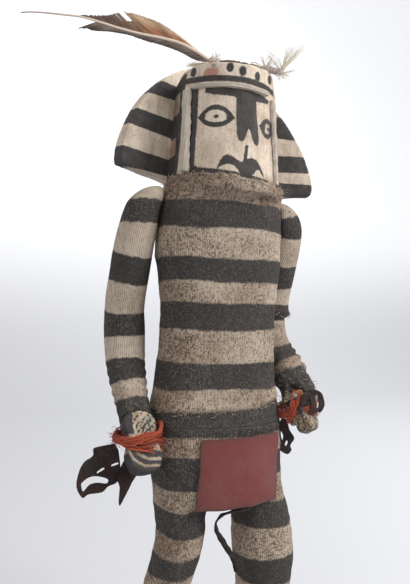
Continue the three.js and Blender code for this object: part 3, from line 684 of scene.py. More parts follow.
@dataclass(frozen=True)
class StrandFinish(Finish):
    """Wool, string, reed or leather cord: streaks along its own run."""

    light: Rgb
    dark: Rgb
    spots: Rgb
    roughness: float
    sheen: float
    fineness: float
    depth: float

    def wire(self, graph: Graph, shader: Node, effects: Effects) -> None:
        """The streaks choose between a light and a dark tone, and clouds lay a third tone over both."""
        inputs = {"Run": graph.value("run"), "Round": graph.value("round"), "Fineness": self.fineness}
        streaks = graph.group(effects.fibres, inputs).outputs[0]
        clouds, specks = effects.clouded(graph, 90.0)
        base = graph.mix(graph.times(clouds, 0.6), graph.mix(streaks, self.dark, self.light), self.spots)
        graph.put(shader, "Base Color", base)
        shader.inputs["Roughness"].default_value = self.roughness
        shader.inputs["Sheen Weight"].default_value = self.sheen
        bump(graph, shader, graph.plus(streaks, specks), self.depth)


@dataclass(frozen=True)
class LeatherFinish(Finish):
    """Old, nearly black leather with a dull reddish sheen."""

    name: str = "old leather"

    def wire(self, graph: Graph, shader: Node, effects: Effects) -> None:
        """Cells give the grain; clouds turn the black towards red-brown, and specks lighten it."""
        clouds, specks = effects.clouded(graph, 60.0)
        grain = graph.add("TexVoronoi", {"Vector": graph.place(), "Scale": 900.0}).outputs["Distance"]
        base = graph.mix(clouds, (17, 12, 11), (44, 29, 26))
        graph.put(shader, "Base Color", graph.mix(graph.times(specks, 0.3), base, (72, 52, 46)))
        graph.put(shader, "Roughness", graph.ramp(clouds, 0.0, 1.0, 0.5, 0.75))
        shader.inputs["Specular IOR Level"].default_value = 0.25
        bump(graph, shader, graph.plus(grain, clouds), 0.0003)


@dataclass(frozen=True)
class ClothFinish(Finish):
    """Dull red plain-woven cloth."""

    name: str = "red cloth"
    thread: float = 0.55

    def wire(self, graph: Graph, shader: Node, effects: Effects) -> None:
        """Two crossed waves of the thread's spacing make the weave; clouds fade the dye in places."""
        across, along = (
            graph.math("SINE", graph.times(graph.value(name), 2 * math.pi / self.thread))
            for name in ("around", "along")
        )
        weave = graph.times(graph.plus(graph.times(across, along), 1.0), 0.5)
        fade, _ = effects.clouded(graph, 45.0)
        lint, specks = effects.clouded(graph, 150.0)
        base = graph.mix(weave, (98, 36, 36), (130, 54, 52))
        base = graph.mix(graph.times(fade, 0.5), base, (118, 72, 66))
        base = graph.mix(graph.times(specks, 0.5), base, (84, 38, 36))
        # dirty hems darken the red, and along the left edge a painted shadow
        graph.put(shader, "Base Color", graph.mix(graph.value("stain"), base, (72, 46, 40)))
        shader.inputs["Roughness"].default_value = 0.95
        shader.inputs["Sheen Weight"].default_value = 0.08
        bump(graph, shader, graph.plus(weave, lint), 0.00025)


@dataclass(frozen=True)
class VaneFinish(Finish):
    """Barbs: warm brown with a golden edge above the shaft, grey-mauve below it."""

    name: str = "feather vane"

    def wire(self, graph: Graph, shader: Node, effects: Effects) -> None:
        """The side chooses the hue, the way to the barb's tip shades it, and clouds break it up."""
        clouds, specks = effects.clouded(graph, 70.0)
        tip, far, upper = (graph.value(name) for name in ("tip", "far", "upper"))
        brown = graph.mix(graph.ramp(tip, 0.35, 1.0), (150, 96, 58), (214, 184, 146))
        brown = graph.mix(graph.ramp(far, 0.55, 0.8), brown, (84, 62, 44))
        grey = graph.mix(graph.ramp(tip, 0.2, 0.9), (128, 110, 98), (74, 62, 54))
        base = graph.mix(graph.times(clouds, 0.6), graph.mix(upper, grey, brown), (72, 50, 36))
        graph.put(shader, "Base Color", graph.mix(graph.value("shaft"), base, (214, 196, 176)))
        shader.inputs["Roughness"].default_value = 0.6
        shader.inputs["Sheen Weight"].default_value = 0.2
        bump(graph, shader, specks, 0.0001)


# Name, light, dark and third tone, roughness, sheen, fineness and relief of each strand
STRANDS = (
    ("split reed", (236, 228, 216), (158, 134, 106), (214, 202, 186), 0.8, 0.0, 9.0, 0.0003),
    ("red wool", (222, 98, 52), (138, 42, 22), (172, 60, 32), 0.95, 0.1, 8.0, 0.0003),
    ("pale string", (222, 210, 198), (168, 148, 138), (196, 170, 162), 0.9, 0.2, 8.0, 0.0002),
    ("dark binding", (132, 110, 90), (52, 40, 34), (84, 66, 52), 0.8, 0.0, 7.0, 0.0002),
    ("soft down", (232, 222, 200), (196, 180, 150), (214, 198, 176), 0.9, 0.4, 5.0, 0.0001),
    ("frayed knit", (206, 190, 168), (120, 98, 78), (150, 128, 104), 0.95, 0.1, 6.0, 0.0001),
)


# The knitted suit


@dataclass
class KnitSuit:
    """Trunk, legs and collar in one knitted skin, and two sleeves."""

    voxel: float = 1.35
    sleeve_voxel: float = 1.1
    smoothing: int = 26
    trunk_girth: float = 47.0
    leg_girth: float = 19.0
    sleeve_girth: float = 14.5
    hip: float = 212.0
    waist: float = 218.0
    collar: float = 370.0
    elbow_cut: float = -91.0
    cuff: float = -138.0
    cuff_drop: Triple = (0.8, -8.0, -8.5)
    seam: tuple = ((-60, 222.0), (-38, 222.5), (20, 223.8), (40, 228.0), (60, 233.0))
    top_band: tuple = (371.0, 353.5)
    trunk_bands: tuple = ((369.5, 351.9), (330.5, 314.0), (299.3, 280.0), (256.7, 237.9), (224.4, 205.0))
    right_leg_bands: tuple = ((190.6, 167.6), (153.7, 134.9), (120.3, 106.4), (88.0, 73.0), (54.0, 38.0))
    left_leg_bands: tuple = ((189.9, 172.5), (152.2, 133.6), (111.1, 90.3), (70.0, 54.0), (38.0, 20.0))
    right_shoulder_band: tuple = (371.0, 354.5)
    right_sleeve_bands: tuple = ((-48.7, -69.6), (-91.3, -111.6), (-129.8, -146.8), (-160.0, -190.0))
    left_sleeve_bands: tuple = ((-7, -22.2), (-44.5, -62.8), (-80.4, -96.1), (-118.5, -132.2), (-141, -151.5))
    frays: list[Skin] = field(default_factory=list)

    def middle_line(self, points: Array) -> Array:
        """The limb's middle at even heights: halfway between the extremes of a thin slice."""
        heights = np.arange(points[:, 2].min() + 2, points[:, 2].max() - 1, 4.0)
        slices = [points[np.abs(points[:, 2] - height) < 1.2] for height in heights]
        middles = [(cut[:, :2].min(0) + cut[:, :2].max(0)) / 2 for cut in slices]
        return np.column_stack([np.array(middles), heights])

    def measure(self, points: Array, girth: float) -> tuple[Array, Array]:
        """Knit coordinates of a limb.

        Around is the angle about the middle line times a fixed radius, so a wale stays a wale where
        the limb swells; along is the middle line's length down from the top, squared to it.
        """
        line = self.middle_line(points)
        slope = np.gradient(line, axis=0)
        slope /= np.linalg.norm(slope, axis=1, keepdims=True)
        run = np.concatenate([[0], np.cumsum(np.linalg.norm(np.diff(line, axis=0), axis=1))])
        run -= run[-1]
        height = points[:, 2]
        middle = np.column_stack([np.interp(height, line[:, 2], line[:, axis]) for axis in range(3)])
        heading = np.column_stack([np.interp(height, line[:, 2], slope[:, axis]) for axis in range(3)])
        off = points - middle
        along = np.interp(height, line[:, 2], run) + (off * heading).sum(1)
        angle = np.arctan2(off[:, 0], -off[:, 1])
        return angle * girth, along

    def grime_and_shade(self, points: Array) -> Array:
        """Grime in clouds, a brown collar and duller legs; the darker right side of the doll is painted
        shade.
        """
        height = points[:, 2]
        collar = rise(height, self.collar - 6, 7)
        legs = rise(height, 240, -120)
        side = rise(points[:, 0], 0, -45)
        # the side term darkens the doll's right side as painted shade away from the key light; the other
        # terms are grime
        return 0.24 + 0.36 * collar + 0.16 * legs + 0.32 * side + 0.16 * ripples(points, 32, 8)

    def build_body(self, material: Material) -> None:
        """Trunk and legs: bands by height, wales about the trunk above the hip and about each leg below.

        At the seam the knit has a crease under a roll, and the collar is bunched.

        Args:
            material: its finish.
        """
        skin = carved_copy("body", self.voxel, self.smoothing)
        points = skin.points
        height = points[:, 2]
        around = np.arctan2(points[:, 0], -points[:, 1]) * self.trunk_girth
        right = (height < self.hip) & (points[:, 0] < 3)
        left = (height < self.hip) & (points[:, 0] >= 3)
        for part in (right, left):
            below = points[part & (height < 140)]
            line = self.middle_line(below)
            x = np.interp(height[part], line[:, 2], line[:, 0])
            y = np.interp(height[part], line[:, 2], line[:, 1])
            around[part] = np.arctan2(points[part, 0] - x, y - points[part, 1]) * self.leg_girth
        drift = 0.7 * ripples(points, 46, 3) + 0.3 * ripples(points, 13, 4)
        band = in_bands(height + drift, list(self.trunk_bands))
        seam = np.interp(points[:, 0], *np.array(self.seam).T)
        waist = np.minimum(seam - height, height + drift - self.trunk_bands[-1][1])
        band = np.maximum(np.where(np.abs(height - self.waist) < 16, 10 * OUTSIDE, band), waist)
        front_fall = 0.06 * np.clip(points[:, 0], 0, 60)
        band = np.maximum(band, in_bands(height + front_fall, [self.top_band]))
        sag = 2.2 * bell(points[:, 0], -34, 14) * (height < 165)
        band[right] = in_bands(height[right] + drift[right] + sag[right] - 1, list(self.right_leg_bands))
        band[left] = in_bands(height[left] + drift[left], list(self.left_leg_bands))
        near_waist = (height < self.hip) & (height > 202)
        band[near_waist] = waist[near_waist]
        skin.values = {
            "around": around,
            "along": height,
            "black": band,
            "soiled": self.grime_and_shade(points),
        }
        normal = outward(skin)
        front = rise(points[:, 1], 0, -12)
        crease = bell(height - seam, -0.6, 1.2) * front
        roll = bell(height - seam, 2.4, 1.9) * front
        filled = bell(height, 210.0, 3.2) * front
        bunch = rise(height, self.collar, 10) * ripples(points * [1, 1, 2.2], 9, 11) * 0.7
        lumps = 0.35 * ripples(points, 24, 5) + 0.15 * ripples(points, 7, 6)
        skin.points = points + normal * (lumps - 1.1 * crease + 1.0 * roll + 0.9 * filled + bunch)[:, None]
        add_piece("knitted_suit", skin, material, ["body"])
        above_seam = skin.points[:, 2] - np.interp(skin.points[:, 0], *np.array(self.seam).T)
        chance = 0.5 * bell(above_seam, 0, 1.6) * (skin.points[:, 1] < -4)
        chance += 0.22 * rise(skin.points[:, 2], self.collar + 6, 8)
        self.frays.append(self.loose_threads(skin.points, normal, chance, 620, 91))

    def build_sleeve(self, side: str, material: Material) -> None:
        """One sleeve: bands square to the arm and loose folds above the wrist.

        The left one has a ragged cut below the elbow, and its soiled cuff drops over the hand.

        Args:
            side: "right" or "left", the doll's own.
            material: its finish.
        """
        node = f"arm_{side}"
        skin = carved_copy(node, self.sleeve_voxel, self.smoothing)
        around, along = self.measure(skin.points, self.sleeve_girth)
        bands = self.right_sleeve_bands if side == "right" else self.left_sleeve_bands
        drift = 0.7 * ripples(skin.points, 30, 21) + 0.4 * ripples(skin.points, 9, 22)
        soiled = -0.3 + 0.1 * ripples(skin.points, 40, 24) + 0.3 * rise(along, -120, -40)
        black = in_bands(along + drift, list(bands))
        cuff = rise(along, self.cuff, -14)
        if side == "right":
            level = in_bands(skin.points[:, 2] + drift, [self.right_shoulder_band])
            black = np.where(along > -36, level, black)
        else:
            soiled += 0.35 * bell(along, -33, 10) + 0.4 * rise(along, -9, 6)
            soiled += 0.25 * rise(along, -60, -20) + 0.35 * rise(along, -90, -30)
            black += 2.0 * cuff * ripples(skin.points, 4, 25)
        skin.values = {
            "around": around,
            "along": along,
            "black": black,
            "soiled": np.clip(soiled, -0.4, 0.5),
        }
        place, reach, size = (-136.0, 16.0, 1.1) if side == "left" else (-150.0, 20.0, 0.45)
        depth = size * bell(along, place, reach)
        folds = depth * np.sin(along * 0.85 + 1.5 * np.sin(around / self.sleeve_girth))
        lumps = 0.25 * ripples(skin.points, 18, 23)
        if side == "left":
            lumps -= 3.2 * rise(along + drift, self.elbow_cut, -1.5) * rise(along, -136, 34)
            lumps += 1.3 * bell(along + drift, self.elbow_cut + 3, 2.6)
            lumps += 1.1 * cuff * ripples(skin.points, 6, 26)
        normal = outward(skin)
        skin.points = skin.points + normal * (folds + lumps)[:, None]
        if side == "left":
            skin.points = skin.points + (cuff**2)[:, None] * self.cuff_drop
        add_piece(f"sleeve_{side}", skin, material, [node])
        if side == "left":
            chance = bell(along, -156, 9) + 1.6 * bell(along, self.elbow_cut + 0.5, 1.3)
            self.frays.append(self.loose_threads(skin.points, normal, chance, 420, 92))

    def loose_threads(self, points: Array, normal: Array, chance: Array, count: int, seed: int) -> Skin:
        """Frayed ends of yarn.

        Each starts on the surface, leans out along the normal and bends aside by random amounts.

        Args:
            points: the surface's points.
            normal: their directions outwards.
            chance: how likely a thread starts at each point.
            count: number of threads.
            seed: of the random numbers.

        Returns:
            All threads as one surface.
        """
        rng = np.random.default_rng(seed)
        chosen = rng.choice(len(points), count, p=chance / chance.sum())
        threads = []
        for index in chosen:
            start = points[index]
            aside = rng.normal(size=3) * [1.1, 0.6, 0.8]
            out = normal[index] * rng.uniform(0.3, 1.5)
            bends = [start - normal[index] * 0.3, start + out + aside * 0.6, start + out * 0.7 + aside * 1.7]
            threads.append(tube(smooth_path(bends, 7), rng.uniform(0.09, 0.2), 4))
        return joined(threads)

    def build(self, material: Material, thread: Material) -> None:
        """Body, both sleeves and their frayed threads."""
        self.build_body(material)
        for side in ("right", "left"):
            self.build_sleeve(side, material)
        add_piece("frayed_threads", joined(self.frays), thread, [], turn=True)


# The head with its painted face, and the board


@dataclass
class Head:
    """Head block, board and reeds, in the head's own frame.

    Painted shapes are given in degrees from the middle of the face and millimetres above its base.
    """

    radius: float = 36.0
    left_base: float = 41.3
    left_crown: float = 31.2
    height: float = 81.0
    turn: float = 6.0
    tilt: float = 4.5
    sweep: float = 15.0
    place: Triple = (0.5, -1.0, 385.0)
    cheek: float = 3.2
    voxel: float = 0.72
    board_voxel: float = 0.95
    front_edge: float = 84.0
    brow: tuple = (
        (-50, 59.6), (-49, 63.2), (-38.5, 63.6), (-18.5, 63.4), (-3.2, 63.2), (14.9, 62.3), (30, 60.8),
        (29, 58.0), (14.7, 56.8), (9.6, 56.4), (-3.2, 56.6), (-14, 56.6), (-18.5, 57.2), (-38.5, 57.8),
    )
    nose: tuple = (
        (-13.9, 58), (-12.4, 45), (-9.1, 31), (-6.5, 27.2), (-3.4, 26.6), (-1, 27.6), (0.7, 30.6),
        (2, 34.4), (3.4, 36.4), (5.4, 35), (7.8, 30.9), (11.5, 26.8), (15, 25.8), (17, 28), (17.1, 31.5),
        (13, 44), (9.6, 57),
    )
    whiskers: tuple = (
        (-27.5, 5.6), (-25, 11.5), (-21, 15.4), (-17.5, 16.6), (-12, 15.8), (-6, 13.8), (-1, 12.6),
        (0.6, 14.2), (1, 25), (4.6, 25), (4.8, 15.5), (9, 17), (15, 16), (21, 12.6), (25.5, 8.2),
        (27.6, 5.2), (24, 6.6), (20, 9.6), (17.1, 9.4), (12, 5), (8, 2.6), (4, 2.2), (0, 3.4), (-4, 6.6),
        (-9, 9.4), (-16.4, 10), (-22, 8.4),
    )
    lines: tuple = (
        (((-82, 69.6), (0, 69.6), (21, 68.8), (38, 68)), 2.1),
        (((-62.6, 62.5), (-58.4, 6), (-52, 4)), 3.3),
        (((-58, 5.4), (-40, 4.6), (0, 3.4), (34, 2.6)), 1.7),
    )
    dots: tuple = ((-66, 75.2), (-23.5, 77.4), (-9.5, 75.6), (9.1, 74.4), (30.9, 76))
    red_patch: tuple = ((-54, 70.2), (-52, 75.6), (-47, 77), (-36, 76.8), (-36, 70.6))
    green_spots: tuple = ((-42, 78.2), (-10, 76.6))

    def pose(self) -> Matrix:
        """The head's frame in the doll's: turned to its right and leaning to its left."""
        turn = Matrix.Rotation(-math.radians(self.turn), 4, "Z")
        lean = Matrix.Rotation(math.radians(self.tilt), 4, "Y")
        return Matrix.Translation(Vector(self.place)) @ turn @ lean

    def local(self, points: Array) -> Array:
        """Points of the doll's frame in the head's."""
        back = np.array(self.pose().inverted())
        return points @ back[:3, :3].T + back[:3, 3]

    def face_place(self, points: Array) -> tuple[Array, Array]:
        """Degrees from the middle of the face, and height above its base; the doll's left side tapers."""
        x, y, up = self.local(points).T
        left = self.left_base + (self.left_crown - self.left_base) * up / self.height
        scaled = np.where(x > 0, x / left, x / self.radius)
        return np.degrees(np.arctan2(scaled, -y / self.radius)), up

    def widened(self, points: Array, wider: float = 0.0) -> Array:
        """The doll's right cheek, worn flatter: points slide outwards by a smooth step of their angle."""
        angle, _ = self.face_place(points)
        share = rise(angle, -48, -34)
        slide = (self.cheek * share**2 * (3 - 2 * share) + wider)[:, None]
        return points - slide * np.array(self.pose())[:3, 0]

    def mm(self, corners: Corners) -> Corners:
        """Corners in degrees and height as distances round the face and height."""
        return [(math.radians(angle) * self.radius, up) for angle, up in corners]

    def face_black(self, angle: Array, up: Array) -> Array:
        """All that is black on the front: band line, brow, nose bar, eyes, moustache, border and dots."""
        x = np.radians(angle) * self.radius
        shapes = [in_polygon(x, up, self.mm(part)) for part in (self.brow, self.nose, self.whiskers)]
        shapes += [in_stroke(x, up, self.mm(line), half) for line, half in self.lines]
        shapes += [in_oval(x, up, dot, (2.5, 3.5)) for dot in self.mm(self.dots)]
        shapes.append(self.eye(x, up, (-54.6, -13.6), (42.1, 50.2, 35.2), (-33.2, 42.4)))
        shapes.append(self.eye(x, up, (17.0, 41.0), (40.6, 47.0, 34.0), (31.5, 40.6)))
        return np.max(shapes, axis=0)

    def eye(
        self,
        x: Array,
        up: Array,
        corners: tuple[float, float],
        levels: Triple,
        pupil: tuple[float, float],
    ) -> Array:
        """A lens outline between two arcs, with a dot: a band about the lens's edge and a small oval.

        Args:
            x: way round the face.
            up: height.
            corners: degrees of the two corners.
            levels: height of the corners, the top and the bottom.
            pupil: degrees and height of the dot.

        Returns:
            Distance into the paint.
        """
        (start, _), (end, _), dot = self.mm([(corners[0], 0), (corners[1], 0), pupil])
        middle, half = (start + end) / 2, (end - start) / 2
        t = np.clip((x - middle) / half, -1, 1)
        arch = 1 - np.abs(t) ** 2.2
        top = levels[0] + (levels[1] - levels[0]) * arch
        low = levels[0] + (levels[2] - levels[0]) * arch
        inside = np.minimum(np.minimum(top - up, up - low), (half - np.abs(x - middle)) * 0.6)
        ring = np.minimum(inside + 0.5, 3.2 - inside)
        return np.maximum(ring, in_oval(x, up, dot, (1.9, 1.25)))

    def wing_black(self, local: Array) -> Array:
        """Bands on the board: edges slant evenly outwards, and pass from one wing's to the other's."""
        x, _, up = local.T
        out = rise(np.abs(x) / math.cos(math.radians(self.sweep)), self.radius, 44)
        right = [(61.5, 61.5, 72.0, 74.5), (32.3, 35.9, 46.0, 48.6), (4.2, 5.0, 16.2, 19.1)]
        left = [(48.3, 48.3, 65.5, 65.5), (20.3, 23.9, 33.7, 36.8), (0.9, 4.7, 12.5, 14.8)]
        share = rise(x, -30, 60)
        parts = []
        for edges in zip(right, left):
            low_in, low_out, top_in, top_out = (a + (b - a) * share for a, b in zip(*edges))
            low = low_in + (low_out - low_in) * out
            top = top_in + (top_out - top_in) * out
            parts.append(np.minimum(top - up, up - low))
        return np.max(parts, axis=0)

    def build_block(self, material: Material) -> None:
        """The head block; its side walls carry bands, and the crown's front edge dots and a red patch."""
        skin = carved_copy("head", self.voxel, 5)
        local = self.local(skin.points)
        angle, up = self.face_place(skin.points)
        x = np.radians(angle) * self.radius
        front = np.abs(angle) < self.front_edge
        black = np.where(front, self.face_black(angle, up), OUTSIDE)
        wall = in_bands(up, [(78, 63.6), (48.6, 30.6), (17.1, -10)])
        edge_line = 3.4 - np.abs(angle + 81.5) * 0.63
        black = np.where(angle < -self.front_edge, wall, black)
        black = np.maximum(black, np.minimum(edge_line, 76 - up))
        behind = (local[:, 0] > 0) & (angle > 62)
        black = np.where(behind, in_bands(up, [(66, 48), (34, 20), (12, -5)]), black)
        on_top = up > 80.5 - 6.3 * (x / self.radius / 1.57) ** 2
        black = np.where(on_top & ~front, OUTSIDE, black)
        red = in_polygon(x, up, self.mm(self.red_patch))
        small, large = self.mm(self.green_spots)
        green = np.maximum(in_oval(x, up, small, (2.2, 1.7)), in_oval(x, up, large, (2.6, 3.2)))
        stain = 0.15 + 0.5 * bell(up, 0, 6) + 0.75 * (np.abs(angle) > 82) + 0.12 * (up > 70)
        # just under the top band line, a brown stain with painted shade; beside the foot of the nose, a stain
        stain += 0.6 * bell(up, 67.3, 1.6) + 0.25 * bell(x, -8, 12) * bell(up, 30, 16)
        # painted shade: the face's right half darkens towards the doll's left
        stain += 0.22 * rise(angle, 5, 35) * (angle < 82)
        skin.values = paint(black, stain, red=red, green=green)
        skin.points = self.widened(swollen(skin, 0.25 * ripples(skin.points, 16, 31)))
        add_piece("carved_head", skin, material, ["head"])

    def build_board(self, material: Material) -> None:
        """The half-disc board, banded on the front, plainer behind."""
        skin = carved_copy("headdress_board", self.board_voxel, 4)
        local = self.local(skin.points)
        stain = 0.16 + 0.25 * (outward(skin)[:, 1] > 0.2) + 0.14 * ripples(skin.points, 30, 33)
        skin.values = paint(self.wing_black(local), stain)
        skin.points = swollen(skin, 0.25 * ripples(skin.points, 22, 34))
        add_piece("headdress_wings", skin, material, ["headdress_board"])

    def build_reeds(self, material: Material) -> None:
        """The three split reeds, with fibres along them."""
        for name in ("top", "right", "left"):
            node = f"face_strip_{name}"
            skin = carved_copy(node, 0.42, 3)
            angle, up = self.face_place(skin.points)
            x = np.radians(angle) * self.radius
            run, round_ = (x, up) if name == "top" else (up, x)
            skin.values = {"run": run * 0.6, "round": round_ * 0.35}
            ridge = 0.22 * np.sin(round_ * 3.4 + 0.8 * np.sin(run * 0.16))
            ridge += 0.15 * ripples(skin.points, 8, 35)
            thicker, wider = (0.5, 1.2) if name == "right" else (0.0, 0.0)
            skin.points = self.widened(swollen(skin, ridge + thicker), wider)
            add_piece(f"reed_{name}", skin, material, [node])


# Hands, feet and the yarn


@dataclass
class Hands:
    """Two carved hands with their yarn, leather and the feet."""

    right: Triple = (-64.85, -17.56, 203.42)
    left: Triple = (61.37, -20.07, 222.34)
    slopes: tuple[float, float] = (32.0, 30.0)
    turns: tuple[float, float] = (0.0, 36.0)
    girth: float = 15.2
    depth: float = 15.4
    yarn_radius: float = 0.5
    hairs: int = 700
    hank_strands: int = 22
    turns_per_bundle: int = 12

    def axes(self, index: int) -> Array:
        """The hand's axes in the doll's frame, as columns."""
        lean = Matrix.Rotation(-math.radians(self.slopes[index]), 3, "X")
        turn = Matrix.Rotation(math.radians(self.turns[index]), 3, "Z")
        return np.array(turn @ lean)

    def hand_local(self, points: Array, side: str) -> Array:
        """Points in the hand's frame: across, forward, and up along the hand."""
        index = 0 if side == "right" else 1
        place = np.array(self.right if side == "right" else self.left)
        return (points - place) @ self.axes(index)

    def build_hand(self, side: str, material: Material) -> None:
        """A hand, mottled at its upper end.

        The right one has a dark side, and pale curved lines on its dark lower end; the left one is
        dark in its middle, and its upper end draws back into the cuff.

        Args:
            side: "right" or "left", the doll's own.
            material: its finish.
        """
        node = f"hand_{side}"
        skin = carved_copy(node, 0.55, 6)
        across, _, up = self.hand_local(skin.points, side).T
        marks = 0.6 * ripples(skin.points, 2.5, 43) + 0.4 * ripples(skin.points, 1.5, 44)
        if side == "right":
            dark = in_polygon(across, up, [(-14, 4), (-14, 24), (-6, 24), (-4.5, 17), (-6, 10), (-5, 4)])
            lower = in_polygon(across, up, [(-14, 2), (-1, 0), (4, -8.5), (14, -9.5), (14, -26), (-14, -26)])
            pale = np.maximum(
                in_stroke(across, up, [(-9, -2), (-5, -10), (1, -14), (12, -14.5)], 1.05),
                in_stroke(across, up, [(-12, -5), (-9, -13), (-2, -18.5), (11, -19)], 0.85),
            )
            black = np.minimum(np.maximum(dark, lower), -pale)
            black = np.maximum(black, np.where(up > 3, 1.5 * marks - 0.35, OUTSIDE))
            green = np.minimum(in_oval(across, up, (6.0, 13), (3.0, 2.8)), 0.8 - 1.5 * marks)
        else:
            black = np.maximum(np.minimum(up + 8 + 0.1 * across, 9 - up), 1.5 * marks - 0.3)
            green = in_oval(across, up, (3, -13), (6, 4))
            skin.points = skin.points - np.clip(up - 3, 0, None)[:, None] * 0.6 * self.axes(1)[:, 2]
        skin.values = paint(black, 0.5 + 0.3 * ripples(skin.points, 8, 42), green=green)
        skin.points = swollen(skin, 0.3 * ripples(skin.points, 9, 41))
        add_piece(f"carved_{node}", skin, material, [node])

    def build_foot(self, side: str, material: Material) -> None:
        """A plain foot."""
        node = f"foot_{side}"
        skin = carved_copy(node, 0.9, 4)
        count = len(skin.points)
        skin.values = paint(np.full(count, OUTSIDE), np.full(count, 0.85))
        skin.points[:, 2] = np.maximum(skin.points[:, 2], 0.0)
        add_piece(f"carved_{node}", skin, material, [node])

    def yarn_loop(self, place: Array, rng: np.random.Generator, lift: float, lean: float) -> Skin:
        """One turn of yarn: a closed rounded oval whose height tips across and forward and wanders."""
        turn = np.linspace(0, 2 * math.pi * 1.02, 120)
        grow = rng.uniform(-0.9, 1.3)
        c, s = np.cos(turn), np.sin(turn)
        wander = 0.9 * np.sin(2 * turn + rng.uniform(0, 6)) + 0.6 * np.sin(5 * turn + rng.uniform(0, 6))
        path = np.column_stack([
            place[0] + (self.girth + grow) * np.sign(c) * np.abs(c) ** 0.87,
            place[1] + (self.depth + grow) * np.sign(s) * np.abs(s) ** 0.87,
            place[2] + lift + lean * c + rng.uniform(-2, 2) * s + wander,
        ])
        return tube(path, self.yarn_radius * rng.uniform(0.55, 1.3), 8, strand_twist=0.45)

    def hank(self, place: Array, rng: np.random.Generator) -> list[Skin]:
        """Strands that hang from the sleeve across the inner side of the far hand, each bowed forward."""
        made = []
        for _ in range(self.hank_strands):
            top = place + [rng.uniform(-9, 0), rng.uniform(-13, -9), rng.uniform(8, 17)]
            low = place + [rng.uniform(-14, -4), rng.uniform(-13, -8), rng.uniform(-9, 3)]
            bow = (top + low) / 2 + [rng.uniform(-3, 1), rng.uniform(-4.5, -2.5), 0]
            path = smooth_path([tuple(top), tuple(bow), tuple(low)], 30)
            made.append(tube(path, self.yarn_radius * rng.uniform(0.7, 1.2), 8, strand_twist=0.45))
        return made

    def build_yarn(self, side: str, material: Material) -> None:
        """Two bundles of turns that meet at the doll's right and spread to its left, with loose hairs."""
        rng = np.random.default_rng(51 if side == "right" else 52)
        low, high = node_box(f"yarn_tie_{side}")
        place = (low + high) / 2 - AXIS
        count = self.turns_per_bundle
        leans = np.concatenate([rng.normal(4.2, 0.8, count), rng.normal(-3.0, 1.0, count)])
        lifts = leans * 0.85 + rng.normal(0, 0.9, len(leans)) - (1.8 if side == "left" else 0.0)
        loops = [self.yarn_loop(place, rng, lift, lean) for lift, lean in zip(lifts, leans)]
        if side == "left":
            loops += self.hank(place, rng)
        for _ in range(self.hairs):
            turn = rng.uniform(0, 2 * math.pi)
            spread = np.array([math.cos(turn), math.sin(turn), 0])
            start = place + spread * [self.girth, self.depth, 0] + [0, 0, rng.normal(0, 2.6)]
            drift = spread * rng.uniform(0.4, 1.7) + rng.normal(size=3) * [2.2, 1.6, 1.3]
            path = smooth_path([start, start + drift * 0.5 + rng.normal(size=3) * 0.5, start + drift], 6)
            loops.append(tube(path, rng.uniform(0.07, 0.16), 3))
        add_piece(f"yarn_{side}", joined(loops), material, [f"yarn_tie_{side}"], turn=True)

    def build_leather(self, material: Material) -> None:
        """Cut leather strips, curled forward at their edges, and the thong in front of the legs."""
        for name in ("right_long", "right_short", "left_loop", "left_hanging"):
            node = f"leather_{name}"
            skin = carved_copy(node, 0.42, 4)
            middle = skin.points.mean(0)
            off = skin.points - middle
            curl = 0.012 * off[:, 0] ** 2 - 0.9 * np.sin(off[:, 2] * 0.22 + off[:, 0] * 0.12)
            limit = 0.8 if name == "left_loop" else 2.0
            skin.points[:, 1] -= np.clip(curl, -limit, limit)
            add_piece(f"strip_{name}", skin, material, [node])
        skin = carved_copy("leg_thong", 0.4, 3)
        wide = 0.75 * rise(skin.points[:, 2], 146, -15)
        skin.points = swollen(skin, wide + 0.22 * ripples(skin.points, 5, 61))
        add_piece("thong", skin, material, ["leg_thong"])


# The red cloth


@dataclass
class Loincloth:
    """A flat red cloth, held at its top, that hangs on the front of the hips."""

    middle: float = 6.4
    hips: float = -31.27
    bottom: float = 154.9
    width: float = 66.0
    top_width: float = 63.5
    curve: float = 0.0068
    gap: float = 2.7
    bulge: float = 1.6
    lift: float = 1.5
    height: float = 50.0
    thickness: float = 1.2
    columns: int = 150
    rows: int = 120

    def build(self, material: Material) -> None:
        """Depth: the square of the way across, less a bulge by height and ripples that grow downwards."""
        across, up = np.meshgrid(np.linspace(0, 1, self.columns), np.linspace(0, 1, self.rows))
        width = self.width + (self.top_width - self.width) * up
        uneven = 0.35 * np.sin(up * 9) + 0.2 * np.sin(up * 31)
        x = (across - 0.5) * width + uneven * (2 * across - 1)
        bend = self.curve * x**2 - self.lift * (1 + up) * rise(x, 0, -self.width / 2) ** 2
        bulge = self.bulge * np.sin(up * math.pi * 0.6)
        ripple = 0.25 * np.sin(x * 0.13 + 1.1) * (1 - up) + 0.12 * np.sin(x * 0.31 + up * 7)
        y = self.hips + bend - bulge - self.gap - ripple
        fall = (across - 0.5) * 1.5 + 0.25 * np.sin(across * 17)
        z = self.bottom + up * self.height + fall * (1 - up) + 0.9 * (across - 0.5) * up
        sheet = grid_skin(np.stack([self.middle + x, y, z], -1), None, closed=False)
        sheet.quads = sheet.quads[np.arange(len(sheet.quads)) % self.columns != self.columns - 1]
        hem = np.minimum(np.minimum(across, 1 - across) * self.width, np.minimum(up, 1 - up) * self.height)
        # dirty hems all round and at the lower edge; the darkening along the left edge is a painted shadow of
        # the cloth standing off the body
        stain = 0.6 * np.exp(-hem / 1.8) + 0.3 * np.exp(-across * self.width / 3) + 0.25 * np.exp(-up * 9)
        sheet.values = {"around": x.ravel(), "along": z.ravel(), "stain": stain.ravel()}
        piece = write_mesh("red_loincloth", sheet)
        piece.data.materials.append(material)
        body = piece.modifiers.new("body", "SOLIDIFY")
        body.thickness = self.thickness * MM
        body.offset = 0
        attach(piece, "root")
        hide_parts("loincloth")
        log.info("red_loincloth: %d points", len(sheet.points))


# Feathers and bindings on the crown


